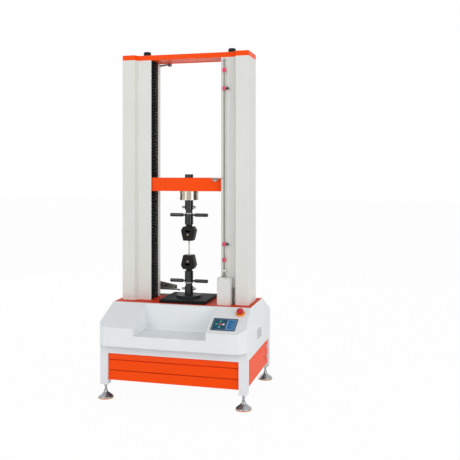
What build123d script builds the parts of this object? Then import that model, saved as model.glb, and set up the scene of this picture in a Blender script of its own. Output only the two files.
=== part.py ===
from build123d import *
import os
from math import atan2, cos, radians, sin, tan

# Fits and general values, in millimetres. X is to the right, Y to the rear, Z up.
RUNNING_FIT = 0.05
SEAT = 0.3
OVERRUN = 20.0

# Base frame of welded square tube
BASE_MARGIN = 45.0
HALF_DEPTH = 348.0
LEG_SIZE = 50.5
LEG_WALL = 4.0
LEG_END_PLATE = 8.0
FOOT_RISE = 89.7
PANEL_RISE = 28.9
PANEL_HEIGHT = 164.8
RAIL_HEIGHT = 55.0
LOWER_RAIL_DEPTH = 30.0
LOWER_RAIL_HEIGHT = 40.0
CROSS_RAIL_Y = 50.0
MOTOR_RAIL_Y = 250.0
POST_INSET = 24.5

# Levelling feet
FOOT_RADIUS = 47.5
FOOT_RIM = 11.0
FOOT_RIM_ROUND = 6.0
FOOT_CONE_ANGLE = 38.0
FOOT_THROAT_ROUND = 20.0
FOOT_FLARE_HEIGHT = 52.0
FOOT_NECK_RADIUS = 11.0
FOOT_STEM_RADIUS = 8.0
FOOT_STEM_INTO_LEG = 30.0
FOOT_NUT_RADIUS = 13.0
FOOT_NUT_HEIGHT = 10.0
FOOT_INSET = 27.0

# Louvre panels
LOUVRE_SHEET = 2.0
LOUVRE_DEPTH = 10.0
LOUVRE_EDGE_GAP = 1.0
LOUVRE_BREAK_SHARES = (0.0, 0.225, 0.615, 1.0)

# Hood of covers round the drive, and the table on it
HOOD_HEIGHT = 231.6
TABLE_THICK = 8.0
TABLE_FOLD_IN = 16.5
TABLE_INSET = 168.0
HOOD_PROUD = 54.0
HOOD_WALL = 2.0
HOOD_CORNER_X = 46.5
HOOD_CORNER_Y = 49.0
FOLD_DROP = 117.0
TRAY_SHOULDER = 236.5
TRAY_BACK_STEP = 8.0
TRAY_FLOOR_DROP = 162.0
TRAY_RADIUS = 10.0
VENT_LENGTH = 70.0
VENT_HEIGHT = 5.0
VENT_PITCH = 14.0
VENT_COUNT = 5
INLET_WIDTH = 48.0
INLET_HEIGHT = 30.0
INLET_DEPTH = 22.0
INLET_FLANGE = 4.0
INLET_INSET_X = 164.5
INLET_RISE = 60.0

# Lower beam under the table
BEAM_HEIGHT = 118.0
BEAM_END_GAP = 10.0
BEAM_HALF_DEPTH = 75.0
BEAM_WALL = 16.0
BEAM_BOSS_WALL = 18.0

# Columns
COLUMN_INNER = 233.4
COLUMN_FACE = 86.0
COLUMN_STEP = 16.3
COLUMN_CHEEK = 83.8
COLUMN_HALF_DEPTH = 104.4
COLUMN_SETBACK = 33.6
COLUMN_LENGTH = 1548.0
COLUMN_SHEET = 2.0
COLUMN_FOLD_RADIUS = 3.0
SLOT_REAR_INSET = 44.4
CAP_HEIGHT = 32.0
CAP_SHEET = 2.0
TOP_BEAM_RISE = 3.0
SCREW_INSET = 53.6
SCREW_RADIUS = 20.0
SCREW_JOURNAL_RADIUS = 15.0
SCREW_TOP_RADIUS = 12.5
GUIDE_INSET = 49.5
GUIDE_RADIUS = 22.5
GUIDE_SPIGOT_RADIUS = 16.0
GUIDE_SPIGOT_DEPTH = 40.0
BEARING_WALL = 14.0
BEARING_HEIGHT = 24.0
TOP_BEARING_HEIGHT = 18.0
SCREW_END_GAP = 2.0
SCREW_CAP_RADIUS = 24.5
SCREW_CAP_HEIGHT = 33.0
SCREW_CAP_ROUND = 8.0
SCREW_CAP_STEM_RADIUS = 14.0
BELLOWS_GAP = 3.0
BELLOWS_WIDTH = 98.0
BELLOWS_WALL = 14.0
BELLOWS_FRONT_GAP = 5.8
BELLOWS_REAR_GAP = 4.0

# Belt drive
PULLEY_RADIUS = 60.0
PULLEY_HEIGHT = 30.0
PULLEY_RIM = 3.0
PULLEY_WEB = 10.0
PULLEY_HUB_RADIUS = 25.0
PULLEY_RIM_WALL = 9.0
PULLEY_DROP = 14.0
MOTOR_PULLEY_RADIUS = 30.0
MOTOR_SIZE = 110.0
MOTOR_LENGTH = 150.0
MOTOR_END_COVER = 40.0
MOTOR_END_STEP = 4.0
MOTOR_PLATE_WIDTH = 160.0
MOTOR_PLATE_THICK = 12.0
GEARBOX_SIZE = 120.0
MOTOR_SHAFT_RADIUS = 12.0
BELT_THICK = 4.0
DRIVE_BOX_X = 175.0
DRIVE_BOX_WIDTH = 120.0
DRIVE_BOX_DEPTH = 100.0
DRIVE_BOX_HEIGHT = 130.0
DRIVE_FIN_DEPTH = 12.0
DRIVE_FIN_COUNT = 8
DRIVE_FIN_SHARE = 0.5

# Load train on the axis, stacked up from the table
PLATEN_HALF = 150.0
PLATEN_THICK = 20.0
PLATEN_CHAMFER = 1.5
PLATEN_SCREW_INSET = 22.0
PLATEN_SCREW_RADIUS = 9.0
PLATEN_SCREW_DEPTH = 10.0
FLANGE_RADIUS = 80.0
FLANGE_THICK = 14.0
TRAIN_RADIUS = 27.5
LOWER_CONNECTOR_LENGTH = 74.5
THREAD_RADIUS = 22.0
THREAD_LENGTH = 19.0
LOCK_RING_LENGTH = 7.0
LOWER_SLEEVE_LENGTH = 71.0
UPPER_SLEEVE_LENGTH = 68.0
SPINDLE_RADIUS = 15.0
SPINDLE_INTO_CONNECTOR = 57.0
PIN_FROM_CONNECTOR_END = 37.0
NECK_LENGTH = 13.0
NECK_RADIUS = 20.5
GRIP_BODY_LENGTH = 91.0
GRIP_MOUTH_HALF = 31.5
GRIP_WIDE_HALF = 47.0
GRIP_TOP_HALF = 33.0
GRIP_WIDE_AT = 66.0
GRIP_HALF_DEPTH = 30.0
GRIP_CAVITY_HALF_DEPTH = 21.0
GRIP_CAVITY_LENGTH = 66.0
GRIP_CAVITY_MOUTH = 15.0
GRIP_EDGE = 2.5
WEDGE_ANGLE = 11.0
JAW_LENGTH = 52.0
JAW_FIT = 0.1
JAW_TOOTH = 0.8
JAW_TOOTH_PITCH = 4.0
SPECIMEN_FREE = 92.5
SPECIMEN_THICK = 6.0
SPECIMEN_WIDTH = 20.0
SPECIMEN_HELD = 40.0
UPPER_CONNECTOR_LENGTH = 83.5
LOAD_CELL_RADIUS = 61.0
LOAD_CELL_HEIGHT = 58.0
LOAD_CELL_GROOVE = 1.0
CROSSHEAD_HEIGHT = 86.0
CROSSHEAD_REAR_GAP = 2.0
CROSSHEAD_END_GAP = 9.5
CROSSHEAD_WALL = 15.0
CROSSHEAD_DECK = 20.0
CROSSHEAD_EDGE = 1.5
HANGER_RADIUS = 27.5
HANGER_SHANK_RADIUS = 15.0
HANGER_HEAD = 22.0
HANGER_INTO_CELL = 20.0
CONNECTOR_STUD_RADIUS = 12.0
CONNECTOR_STUD = 15.0
NUT_BODY_RADIUS = 31.5
NUT_FLANGE_RADIUS = 44.0
NUT_FLANGE_THICK = 14.0
BUSH_WALL = 7.5
HANDLE_REACH = 127.0
HANDLE_RADIUS = 11.5
HANDLE_ROOT_RADIUS = 5.5
HANDLE_ROOT = 6.0
HANDLE_CONE = 10.0
HANDLE_FROM_SLEEVE_END = 7.0
HANDLE_TIP_ROUND = 3.0
PIN_RADIUS = 8.0
PIN_PROUD = 18.0
PIN_HEAD_RADIUS = 10.0
PIN_HEAD_PROUD = 8.0
PIN_HEAD_LENGTH = 4.0
PIN_EYE_RADIUS = 6.5
PIN_EYE_THICK = 2.5

# Limit gear in the recess of the right column
LIMIT_BOX_WIDTH = 85.0
LIMIT_BOX_OVERHANG = 10.0
LIMIT_BOX_PROUD = 30.0
LIMIT_BOX_HEIGHT = 168.0
LIMIT_BOX_ROUND = 3.0
LIMIT_LID = 3.0
LIMIT_ROD_INSET = 24.6
LIMIT_ROD_RADIUS = 4.0
LIMIT_ROD_FRONT = 17.0
LIMIT_ROD_TOP_GAP = 8.0
COLLAR_RADIUS = 11.0
COLLAR_HEIGHT = 24.0
TOP_COLLAR_DROP = 83.0
UPPER_STOP_DROP = 198.0
LOWER_STOP_RISE = 374.0
LOW_COLLAR_RISE = 276.0
KNOB_RADIUS = 8.0
KNOB_LENGTH = 11.0
KNOB_STEM_RADIUS = 3.0
KNOB_STEM = 6.0
ROD_BRACKET_WIDTH = 34.0
ROD_BRACKET_HEIGHT = 30.0
ROD_BRACKET_PLATE = 4.0
ROD_BRACKET_DROP = 14.0
CLAMP_RISE = 41.0
CLAMP_HALF_LENGTH = 17.0
CLAMP_HEIGHT = 9.0
CLAMP_DEPTH = 14.0
CLAMP_ROUND = 3.0
CLAMP_SCREW_RADIUS = 4.0
CLAMP_SCREW_INSET = 6.0
CLAMP_SCREW_PROUD = 4.0
PLUNGER_RADIUS = 5.0
PLUNGER_INTO_BOX = 14.0
PLUNGER_ROOM = 8.0
PLUNGER_GUIDE_RADIUS = 10.5
PLUNGER_GUIDE_HEIGHT = 13.0
STRIKER_WIDTH = 36.0
STRIKER_HEIGHT = 25.0
STRIKER_THICK = 8.0
STRIKER_TO_ROD = 84.0
STRIKER_FINGER = 5.0
STRIKER_ROD_GAP = 1.5
CABLE_RADIUS = 2.5
GLAND_LENGTH = 9.0
GLAND_RADIUS = 6.0
CABLE_BEND_SHARE = 0.45
CABLE_ROUTE = (
    (10.1, -17.2, 91.0),
    (10.1, -17.2, 75.0),
    (13.1, -18.2, 58.0),
    (8.1, -18.8, 40.0),
    (7.1, -17.2, 26.0),
    (10.1, -17.2, 12.0),
    (10.1, -17.2, -8.0),
)

# Controls on the sloping front
PANEL_INSET_X = 143.0
PANEL_FROM_FRONT = 76.5
PANEL_WIDTH = 150.0
PANEL_LENGTH = 110.0
PANEL_THICK = 1.6
PANEL_ROUND = 6.0
KEY_SIZE = 14.0
KEY_THICK = 1.4
KEY_PROUD = 0.7
KEY_ROUND = 3.0
KEY_CROSS_X = 26.0
KEY_PITCH_ACROSS = 21.0
KEY_PITCH_UP = 24.5
KEY_WINDOW_GAP = 0.4
STOP_INSET_X = 67.5
STOP_FROM_TABLE = 52.0
STOP_BASE_RADIUS = 27.0
STOP_BASE_HEIGHT = 9.0
STOP_BASE_CHAMFER = 1.6
STOP_NECK_RADIUS = 13.0
STOP_CAP_RADIUS = 21.0
STOP_CAP_HEIGHT = 14.0
STOP_CAP_ROUND = 4.0
STOP_CROWN_RADIUS = 70.0
STOP_NECK_SHOWN = 9.0
STOP_STEM_BELOW = 12.0

# Extensometer behind the left column
POST_INSET_X = 44.6
POST_BEHIND = 33.6
POST_RADIUS = 8.0
POST_FOOT_THICK = 6.0
POST_FOOT_GAP = 8.0
POST_BOSS_RADIUS = 15.0
POST_BOSS_HEIGHT = 28.0
POST_BRACKET_DROP = 17.0
POST_BRACKET_HEIGHT = 14.0
POST_BRACKET_TIP = 8.0
POST_BRACKET_REACH = 138.0
POST_BRACKET_TURN = 24.0
POST_PULLEY_BLOCK = 18.0
ARM_BLOCK = 34.0
ARM_BLOCK_HEIGHT = 10.0
ARM_REACH = 150.0
ARM_LOWER_REACH = 172.0
ARM_THICK = 8.0
ARM_TIP_HEIGHT = 8.0
ARM_UPPER_TIP_HEIGHT = 24.0
ARM_UPPER_BLOCK_HEIGHT = 48.0
ARM_SLOT_WALL = 7.0
ARM_KNOB_RADIUS = 5.0
ARM_KNOB_LENGTH = 12.0

# Places worked out from the driving dimensions
COLUMN_STEP_IN = COLUMN_INNER + COLUMN_FACE
COLUMN_STEP_OUT = COLUMN_STEP_IN + COLUMN_STEP
COLUMN_OUTER = COLUMN_STEP_OUT + COLUMN_CHEEK
HALF_WIDTH = COLUMN_OUTER + BASE_MARGIN
PANEL_Z = FOOT_RISE + PANEL_RISE
RAIL_Z = PANEL_Z + PANEL_HEIGHT
RAIL_TOP = RAIL_Z + RAIL_HEIGHT
HOOD_Z = RAIL_TOP + SEAT
HOOD_FRONT = HALF_DEPTH + HOOD_PROUD
TABLE_Z = RAIL_TOP + HOOD_HEIGHT
TABLE_HALF_WIDTH = HALF_WIDTH - TABLE_FOLD_IN
TABLE_HALF_DEPTH = HALF_DEPTH - TABLE_INSET
FOLD_Z = TABLE_Z - FOLD_DROP
SLOPE_ANGLE = atan2(FOLD_DROP, HOOD_FRONT - TABLE_HALF_DEPTH)
TABLE_LOW = TABLE_Z - TABLE_THICK
TABLE_EDGE = TABLE_HALF_DEPTH - HOOD_WALL / sin(SLOPE_ANGLE) - SEAT
TRAY_HALF_WIDTH = HALF_WIDTH - TRAY_SHOULDER
INLET_X = HALF_WIDTH - INLET_INSET_X
BEAM_HALF_LENGTH = TABLE_HALF_WIDTH - BEAM_END_GAP
MOTOR_Y = (CROSS_RAIL_Y + MOTOR_RAIL_Y) / 2
BEAM_LOW = TABLE_LOW - BEAM_HEIGHT
COLUMN_TOP = TABLE_Z + COLUMN_LENGTH
CAP_TOP = COLUMN_TOP + CAP_HEIGHT
TOP_BEAM_LOW = COLUMN_TOP + TOP_BEAM_RISE
TOP_BEAM_HIGH = CAP_TOP - CAP_SHEET - SEAT
SCREW_X = COLUMN_INNER + SCREW_INSET
GUIDE_X = COLUMN_OUTER - GUIDE_INSET
COLUMN_RECESS = COLUMN_HALF_DEPTH - COLUMN_SETBACK
SLOT_REAR = COLUMN_HALF_DEPTH - SLOT_REAR_INSET
BELLOWS_FRONT = COLUMN_RECESS - COLUMN_SHEET - BELLOWS_FRONT_GAP
BELLOWS_REAR = SLOT_REAR - BELLOWS_REAR_GAP
CROSSHEAD_HALF_DEPTH = SLOT_REAR - CROSSHEAD_REAR_GAP
PULLEY_TOP = BEAM_LOW - PULLEY_DROP
PULLEY_LOW = PULLEY_TOP - PULLEY_HEIGHT
PLATEN_TOP = TABLE_Z + PLATEN_THICK
FLANGE_TOP = PLATEN_TOP + FLANGE_THICK
LOWER_RING_LOW = FLANGE_TOP + LOWER_CONNECTOR_LENGTH
LOWER_SLEEVE_LOW = LOWER_RING_LOW + LOCK_RING_LENGTH
LOWER_MOUTH = LOWER_SLEEVE_LOW + LOWER_SLEEVE_LENGTH + NECK_LENGTH + GRIP_BODY_LENGTH
UPPER_MOUTH = LOWER_MOUTH + SPECIMEN_FREE
UPPER_SLEEVE_TOP = UPPER_MOUTH + GRIP_BODY_LENGTH + NECK_LENGTH + UPPER_SLEEVE_LENGTH
UPPER_RING_TOP = UPPER_SLEEVE_TOP + LOCK_RING_LENGTH
LOAD_CELL_LOW = UPPER_RING_TOP + UPPER_CONNECTOR_LENGTH
CROSSHEAD_LOW = LOAD_CELL_LOW + LOAD_CELL_HEIGHT
CROSSHEAD_TOP = CROSSHEAD_LOW + CROSSHEAD_HEIGHT
CROSSHEAD_HALF = COLUMN_OUTER - COLUMN_SHEET - CROSSHEAD_END_GAP
LIMIT_ROD_X = COLUMN_INNER + LIMIT_ROD_INSET
LIMIT_ROD_Y = -COLUMN_RECESS - LIMIT_ROD_FRONT
LIMIT_BOX_RIGHT = COLUMN_INNER - LIMIT_BOX_OVERHANG + LIMIT_BOX_WIDTH
LIMIT_BOX_TOP = TABLE_Z + LIMIT_BOX_HEIGHT
CLAMP_LOW = LIMIT_BOX_TOP + CLAMP_RISE - CLAMP_HEIGHT / 2
STRIKER_X = LIMIT_ROD_X - STRIKER_TO_ROD
PANEL_X = HALF_WIDTH - PANEL_INSET_X
PANEL_Y = HOOD_FRONT - PANEL_FROM_FRONT
STOP_X = HALF_WIDTH - STOP_INSET_X
STOP_Y = TABLE_HALF_DEPTH + STOP_FROM_TABLE
POST_X = COLUMN_INNER + POST_INSET_X
POST_Y = COLUMN_HALF_DEPTH + POST_BEHIND
POST_FOOT_REACH = POST_X - PLATEN_HALF - POST_FOOT_GAP
POST_TOP = COLUMN_TOP - POST_BRACKET_DROP + POST_BRACKET_HEIGHT


def block(x0, x1, y0, y1, z0, z1):
    """A rectangular block between two corners."""
    middle = Pos((x0 + x1) / 2, (y0 + y1) / 2, (z0 + z1) / 2)
    return middle * Box(x1 - x0, y1 - y0, z1 - z0)


def upright(radius, z0, z1, x=0, y=0):
    """A cylinder standing along Z."""
    return Pos(x, y, (z0 + z1) / 2) * Cylinder(radius, z1 - z0)


def along_x(radius, x0, x1, y, z):
    """A cylinder lying along X."""
    return Pos((x0 + x1) / 2, y, z) * Rot(0, 90, 0) * Cylinder(radius, x1 - x0)


def along_y(radius, x, y0, y1, z):
    """A cylinder lying along Y."""
    return Pos(x, (y0 + y1) / 2, z) * Rot(90, 0, 0) * Cylinder(radius, y1 - y0)


def side_outline(points, inset=0):
    """A face in the YZ plane, drawn in by an inset."""
    face = make_face(Polyline(*[(0, y, z) for y, z in points], close=True))
    return offset(face, -inset, kind=Kind.INTERSECTION) if inset else face


def front_outline(points, inset=0):
    """A face in the XZ plane, drawn in by an inset."""
    face = make_face(Polyline(*[(x, 0, z) for x, z in points], close=True))
    return offset(face, -inset, kind=Kind.INTERSECTION) if inset else face


def plan_outline(points, inset=0, rounding=0):
    """A face in the XY plane, with its corners rounded and drawn in by an inset."""
    face = make_face(Polyline(*[(x, y, 0) for x, y in points], close=True))
    if rounding:
        face = fillet(face.vertices(), rounding)
    return offset(face, -inset, kind=Kind.INTERSECTION) if inset else face


def drawn_x(face, x0, x1):
    """A YZ face drawn out from x0 to x1."""
    return Pos(x0, 0, 0) * extrude(face, amount=x1 - x0, dir=(1, 0, 0))


def drawn_y(face, y0, y1):
    """An XZ face drawn out from y0 to y1."""
    return Pos(0, y0, 0) * extrude(face, amount=y1 - y0, dir=(0, 1, 0))


def drawn_z(face, z0, z1):
    """An XY face drawn out from z0 to z1."""
    return Pos(0, 0, z0) * extrude(face, amount=z1 - z0, dir=(0, 0, 1))


def turned(points):
    """A solid of revolution about Z from an outline of radius and height."""
    face = make_face(Polyline(*[(r, 0, z) for r, z in points], close=True))
    return revolve(face, axis=Axis.Z)


def rounded_at(face, height, radius):
    """An upright outline with its corner at one height rounded."""
    corner = face.vertices().sort_by(lambda vertex: abs(vertex.Z - height))[0]
    return fillet(corner, radius)


def other_side(shape):
    """The same piece on the other side of the machine."""
    return mirror(shape, about=Plane.YZ)


def save(name, *shapes):
    """One STEP file for a node, each piece of it a solid of its own."""
    solids = [solid for shape in shapes for solid in shape.solids()]
    export_step(Compound(solids), os.path.join("parts", name + ".step"))


def tube_z(x, y, z0, z1, size=LEG_SIZE):
    """A square tube standing on its centre."""
    half = size / 2
    bore = half - LEG_WALL
    outer = block(x - half, x + half, y - half, y + half, z0, z1)
    return outer - block(x - bore, x + bore, y - bore, y + bore, z0, z1)


def rail_x(y0, y1, z0, z1, half):
    """A rectangular tube along X between the legs."""
    outer = block(-half, half, y0, y1, z0, z1)
    inner = block(-half, half, y0 + LEG_WALL, y1 - LEG_WALL, z0 + LEG_WALL, z1 - LEG_WALL)
    return outer - inner


def rail_y(x0, x1, z0, z1, half):
    """A rectangular tube along Y between the legs."""
    outer = block(x0, x1, -half, half, z0, z1)
    inner = block(x0 + LEG_WALL, x1 - LEG_WALL, -half, half, z0 + LEG_WALL, z1 - LEG_WALL)
    return outer - inner


def base_frame():
    """Legs, two rings of rails, cross rails and the posts under the lower beam."""
    leg_x = HALF_WIDTH - LEG_SIZE / 2
    leg_y = HALF_DEPTH - LEG_SIZE / 2
    inner_x = HALF_WIDTH - LEG_SIZE
    inner_y = HALF_DEPTH - LEG_SIZE
    half = LEG_SIZE / 2
    frame = None
    for sx in (-1, 1):
        for sy in (-1, 1):
            x = sx * leg_x
            y = sy * leg_y
            leg = tube_z(x, y, FOOT_RISE, RAIL_TOP)
            leg += block(x - half, x + half, y - half, y + half, FOOT_RISE, FOOT_RISE + LEG_END_PLATE)
            stud_x = sx * (HALF_WIDTH - FOOT_INSET)
            stud_y = sy * (HALF_DEPTH - FOOT_INSET)
            stud = FOOT_STEM_RADIUS + RUNNING_FIT
            leg -= upright(stud, FOOT_RISE - OVERRUN, FOOT_RISE + LEG_END_PLATE + OVERRUN, stud_x, stud_y)
            leg += tube_z(sx * (inner_x - POST_INSET), sy * CROSS_RAIL_Y, RAIL_TOP, BEAM_LOW)
            frame = leg if frame is None else frame + leg
    low_top = PANEL_Z + LOWER_RAIL_HEIGHT
    for side in (-1, 1):
        y_edges = sorted((side * inner_y, side * HALF_DEPTH))
        low_y = sorted((side * inner_y, side * (inner_y + LOWER_RAIL_DEPTH)))
        x_edges = sorted((side * inner_x, side * HALF_WIDTH))
        low_x = sorted((side * inner_x, side * (inner_x + LOWER_RAIL_DEPTH)))
        frame += rail_x(*y_edges, RAIL_Z, RAIL_TOP, inner_x)
        frame += rail_x(*low_y, PANEL_Z, low_top, inner_x)
        frame += rail_y(*x_edges, RAIL_Z, RAIL_TOP, inner_y)
        frame += rail_y(*low_x, PANEL_Z, low_top, inner_y)
        frame += rail_x(side * CROSS_RAIL_Y - half, side * CROSS_RAIL_Y + half, RAIL_Z, RAIL_TOP, inner_x)
    frame += rail_x(MOTOR_RAIL_Y - half, MOTOR_RAIL_Y + half, RAIL_Z, RAIL_TOP, inner_x)
    return frame


def foot():
    """A turned foot: a bell with a rounded rim and throat, a threaded stem and its lock nut."""
    cone_top = FOOT_RIM + (FOOT_RADIUS - FOOT_NECK_RADIUS) * tan(radians(FOOT_CONE_ANGLE))
    stem_top = FOOT_RISE + FOOT_STEM_INTO_LEG
    nut_low = FOOT_RISE - FOOT_NUT_HEIGHT
    outline = make_face(Polyline(
        (0, 0, 0), (FOOT_RADIUS, 0, 0), (FOOT_RADIUS, 0, FOOT_RIM), (FOOT_NECK_RADIUS, 0, cone_top),
        (FOOT_NECK_RADIUS, 0, FOOT_FLARE_HEIGHT), (FOOT_STEM_RADIUS, 0, FOOT_FLARE_HEIGHT),
        (FOOT_STEM_RADIUS, 0, stem_top), (0, 0, stem_top), close=True,
    ))
    outline = rounded_at(outline, FOOT_RIM, FOOT_RIM_ROUND)
    outline = rounded_at(outline, cone_top, FOOT_THROAT_ROUND)
    nut = extrude(RegularPolygon(FOOT_NUT_RADIUS, 6), amount=FOOT_NUT_HEIGHT - SEAT)
    return revolve(outline, axis=Axis.Z) + Pos(0, 0, nut_low) * nut


def feet():
    """The four feet under the corners."""
    places = {"front_left": (-1, -1), "front_right": (1, -1), "rear_left": (-1, 1), "rear_right": (1, 1)}
    for name, (sx, sy) in places.items():
        place = Pos(sx * (HALF_WIDTH - FOOT_INSET), sy * (HALF_DEPTH - FOOT_INSET), 0)
        save(name + "_foot", place * foot())


def louvre(length):
    """Three lapped bands on one folded sheet, facing -Y, on its own centre line."""
    back = -LOUVRE_DEPTH
    heights = [PANEL_Z + PANEL_HEIGHT * (1 - share) for share in LOUVRE_BREAK_SHARES]
    sheet = None
    for top, low in zip(heights, heights[1:]):
        slant = [(back, top), (0, low), (LOUVRE_SHEET, low), (back + LOUVRE_SHEET, top)]
        slant = [(-y - LOUVRE_DEPTH, z) for y, z in slant]
        band = drawn_x(side_outline(slant), -length / 2, length / 2)
        band += block(-length / 2, length / 2, -LOUVRE_DEPTH - LOUVRE_SHEET, 0, low, low + LOUVRE_SHEET)
        sheet = band if sheet is None else sheet + band
    return sheet


def louvre_panels():
    """The orange louvre panels between the legs, front, rear and sides."""
    wide = 2 * (HALF_WIDTH - LEG_SIZE - LOUVRE_EDGE_GAP)
    deep = 2 * (HALF_DEPTH - LEG_SIZE - LOUVRE_EDGE_GAP)
    front = HALF_DEPTH - LEG_SIZE + LOWER_RAIL_DEPTH + SEAT
    side = HALF_WIDTH - LEG_SIZE + LOWER_RAIL_DEPTH + SEAT
    return [
        Pos(0, -front, 0) * louvre(wide),
        Rot(0, 0, 180) * Pos(0, -front, 0) * louvre(wide),
        Rot(0, 0, 90) * Pos(0, -side, 0) * louvre(deep),
        Rot(0, 0, -90) * Pos(0, -side, 0) * louvre(deep),
    ]


def hood_body(inset):
    """The form of the hood: upright walls that slope in to the table's edges."""
    low = HOOD_Z - OVERRUN
    high = TABLE_Z + OVERRUN
    slope_top = TABLE_HALF_DEPTH - OVERRUN / tan(SLOPE_ANGLE)
    lean = (HALF_WIDTH - TABLE_HALF_WIDTH) / FOLD_DROP
    side_top = TABLE_HALF_WIDTH - OVERRUN * lean
    profile = [
        (-HOOD_FRONT, low), (-HOOD_FRONT, FOLD_Z), (-slope_top, high),
        (slope_top, high), (HOOD_FRONT, FOLD_Z), (HOOD_FRONT, low),
    ]
    face = [
        (-HALF_WIDTH, low), (-HALF_WIDTH, FOLD_Z), (-side_top, high),
        (side_top, high), (HALF_WIDTH, FOLD_Z), (HALF_WIDTH, low),
    ]
    corner_x = HALF_WIDTH - HOOD_CORNER_X
    corner_y = HOOD_FRONT - HOOD_CORNER_Y
    plan = [
        (-corner_x, -HOOD_FRONT), (corner_x, -HOOD_FRONT), (HALF_WIDTH, -corner_y), (HALF_WIDTH, corner_y),
        (corner_x, HOOD_FRONT), (-corner_x, HOOD_FRONT), (-HALF_WIDTH, corner_y), (-HALF_WIDTH, -corner_y),
    ]
    body = drawn_z(plan_outline(plan, inset), low, high)
    body &= drawn_x(side_outline(profile, inset), -HALF_WIDTH, HALF_WIDTH)
    return body & drawn_y(front_outline(face, inset), -HOOD_FRONT, HOOD_FRONT)


def hood_shell():
    """The folded walls of the hood, open above and below."""
    keep = block(-HALF_WIDTH, HALF_WIDTH, -HOOD_FRONT, HOOD_FRONT, HOOD_Z, TABLE_Z)
    return (hood_body(0) & keep) - hood_body(HOOD_WALL)


def slope_place(x, y):
    """A place on the sloping front, with its local Z square to the slope."""
    z = TABLE_Z - (y - TABLE_HALF_DEPTH) * tan(SLOPE_ANGLE)
    plane = Plane(origin=(x, -y, z), x_dir=(1, 0, 0), z_dir=(0, -sin(SLOPE_ANGLE), cos(SLOPE_ANGLE)))
    return plane.location


def fascia(shell):
    """The front cover with its deep tray."""
    cover = shell & block(-HALF_WIDTH, HALF_WIDTH, -HOOD_FRONT, -TABLE_EDGE, HOOD_Z, TABLE_Z)
    floor_z = TABLE_Z - TRAY_FLOOR_DROP
    back = TABLE_HALF_DEPTH + TRAY_BACK_STEP
    outer = TRAY_HALF_WIDTH + HOOD_WALL
    tray = block(-outer, outer, -HOOD_FRONT, -back + HOOD_WALL, floor_z - HOOD_WALL, TABLE_Z)
    hollow = block(
        -TRAY_HALF_WIDTH, TRAY_HALF_WIDTH, -HOOD_FRONT - OVERRUN, -back, floor_z, TABLE_Z + OVERRUN
    )
    hollow = fillet(hollow.edges().filter_by(Axis.X).sort_by(Axis.Z)[:2].sort_by(Axis.Y)[-1:], TRAY_RADIUS)
    tray = fillet(tray.edges().filter_by(Axis.X).sort_by(Axis.Z)[:2].sort_by(Axis.Y)[-1:], TRAY_RADIUS)
    cover = cover + (tray & hood_body(0)) - hollow
    stem = STOP_NECK_RADIUS + SEAT
    return cover - slope_place(STOP_X, STOP_Y) * Cylinder(stem, 2 * OVERRUN)


def side_covers(shell):
    """The covers on both sides, each with vent slots."""
    edge = TABLE_EDGE - SEAT
    cover = shell & block(0, HALF_WIDTH, -edge, edge, HOOD_Z, TABLE_Z)
    for row in range(VENT_COUNT):
        low = HOOD_Z + VENT_PITCH * (row + 1)
        cover -= block(
            HALF_WIDTH - OVERRUN, HALF_WIDTH + OVERRUN, -VENT_LENGTH, VENT_LENGTH, low, low + VENT_HEIGHT
        )
    return [cover, other_side(cover)]


def rear_cover(shell):
    """The sloping rear cover with its mains inlet."""
    cover = shell & block(-HALF_WIDTH, HALF_WIDTH, TABLE_EDGE, HOOD_FRONT, HOOD_Z, TABLE_Z)
    low = HOOD_Z + INLET_RISE
    x0 = INLET_X - INLET_WIDTH / 2
    x1 = INLET_X + INLET_WIDTH / 2
    high = low + INLET_HEIGHT
    cover -= block(x0, x1, HOOD_FRONT - OVERRUN, HOOD_FRONT + OVERRUN, low, high)
    inside = HOOD_FRONT - INLET_DEPTH
    inlet = block(x0 + SEAT, x1 - SEAT, inside, HOOD_FRONT, low + SEAT, high - SEAT)
    rim = INLET_FLANGE
    inlet -= block(x0 + rim, x1 - rim, inside + rim, HOOD_FRONT + OVERRUN, low + rim, high - rim)
    return [cover, inlet]


def table_top():
    """The orange table plate, with holes for the screws and guide columns."""
    side = TABLE_HALF_WIDTH - HOOD_WALL - SEAT
    plate = block(-side, side, -TABLE_EDGE, TABLE_EDGE, TABLE_LOW, TABLE_Z)
    for sx in (-1, 1):
        plate -= upright(SCREW_RADIUS + SCREW_END_GAP, TABLE_LOW, TABLE_Z, sx * SCREW_X)
        plate -= upright(GUIDE_RADIUS + RUNNING_FIT, TABLE_LOW, TABLE_Z, sx * GUIDE_X)
    hole_x, hole_y, _ = cable_points()[-1]
    return plate - upright(CABLE_RADIUS + SEAT, TABLE_LOW, TABLE_Z, hole_x, hole_y)


def lower_beam():
    """The ribbed beam that carries the screws and guide columns."""
    beam = block(
        -BEAM_HALF_LENGTH, BEAM_HALF_LENGTH, -BEAM_HALF_DEPTH, BEAM_HALF_DEPTH, BEAM_LOW, TABLE_LOW
    )
    deck = TABLE_LOW - BEAM_WALL
    deep = BEAM_HALF_DEPTH - BEAM_WALL
    race = SCREW_JOURNAL_RADIUS + BEARING_WALL
    pocket_end = SCREW_X - race - BEAM_BOSS_WALL
    for sx in (-1, 1):
        pocket = sorted((sx * BEAM_WALL / 2, sx * pocket_end))
        beam -= block(*pocket, -deep, deep, BEAM_LOW, deck)
        x = sx * SCREW_X
        beam -= upright(SCREW_JOURNAL_RADIUS + SCREW_END_GAP, BEAM_LOW, TABLE_LOW, x)
        beam -= upright(race, TABLE_LOW - BEARING_HEIGHT, TABLE_LOW, x)
        beam -= upright(race, BEAM_LOW, BEAM_LOW + BEARING_HEIGHT, x)
        beam -= upright(GUIDE_SPIGOT_RADIUS, TABLE_LOW - GUIDE_SPIGOT_DEPTH, TABLE_LOW, sx * GUIDE_X)
    return beam


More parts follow.
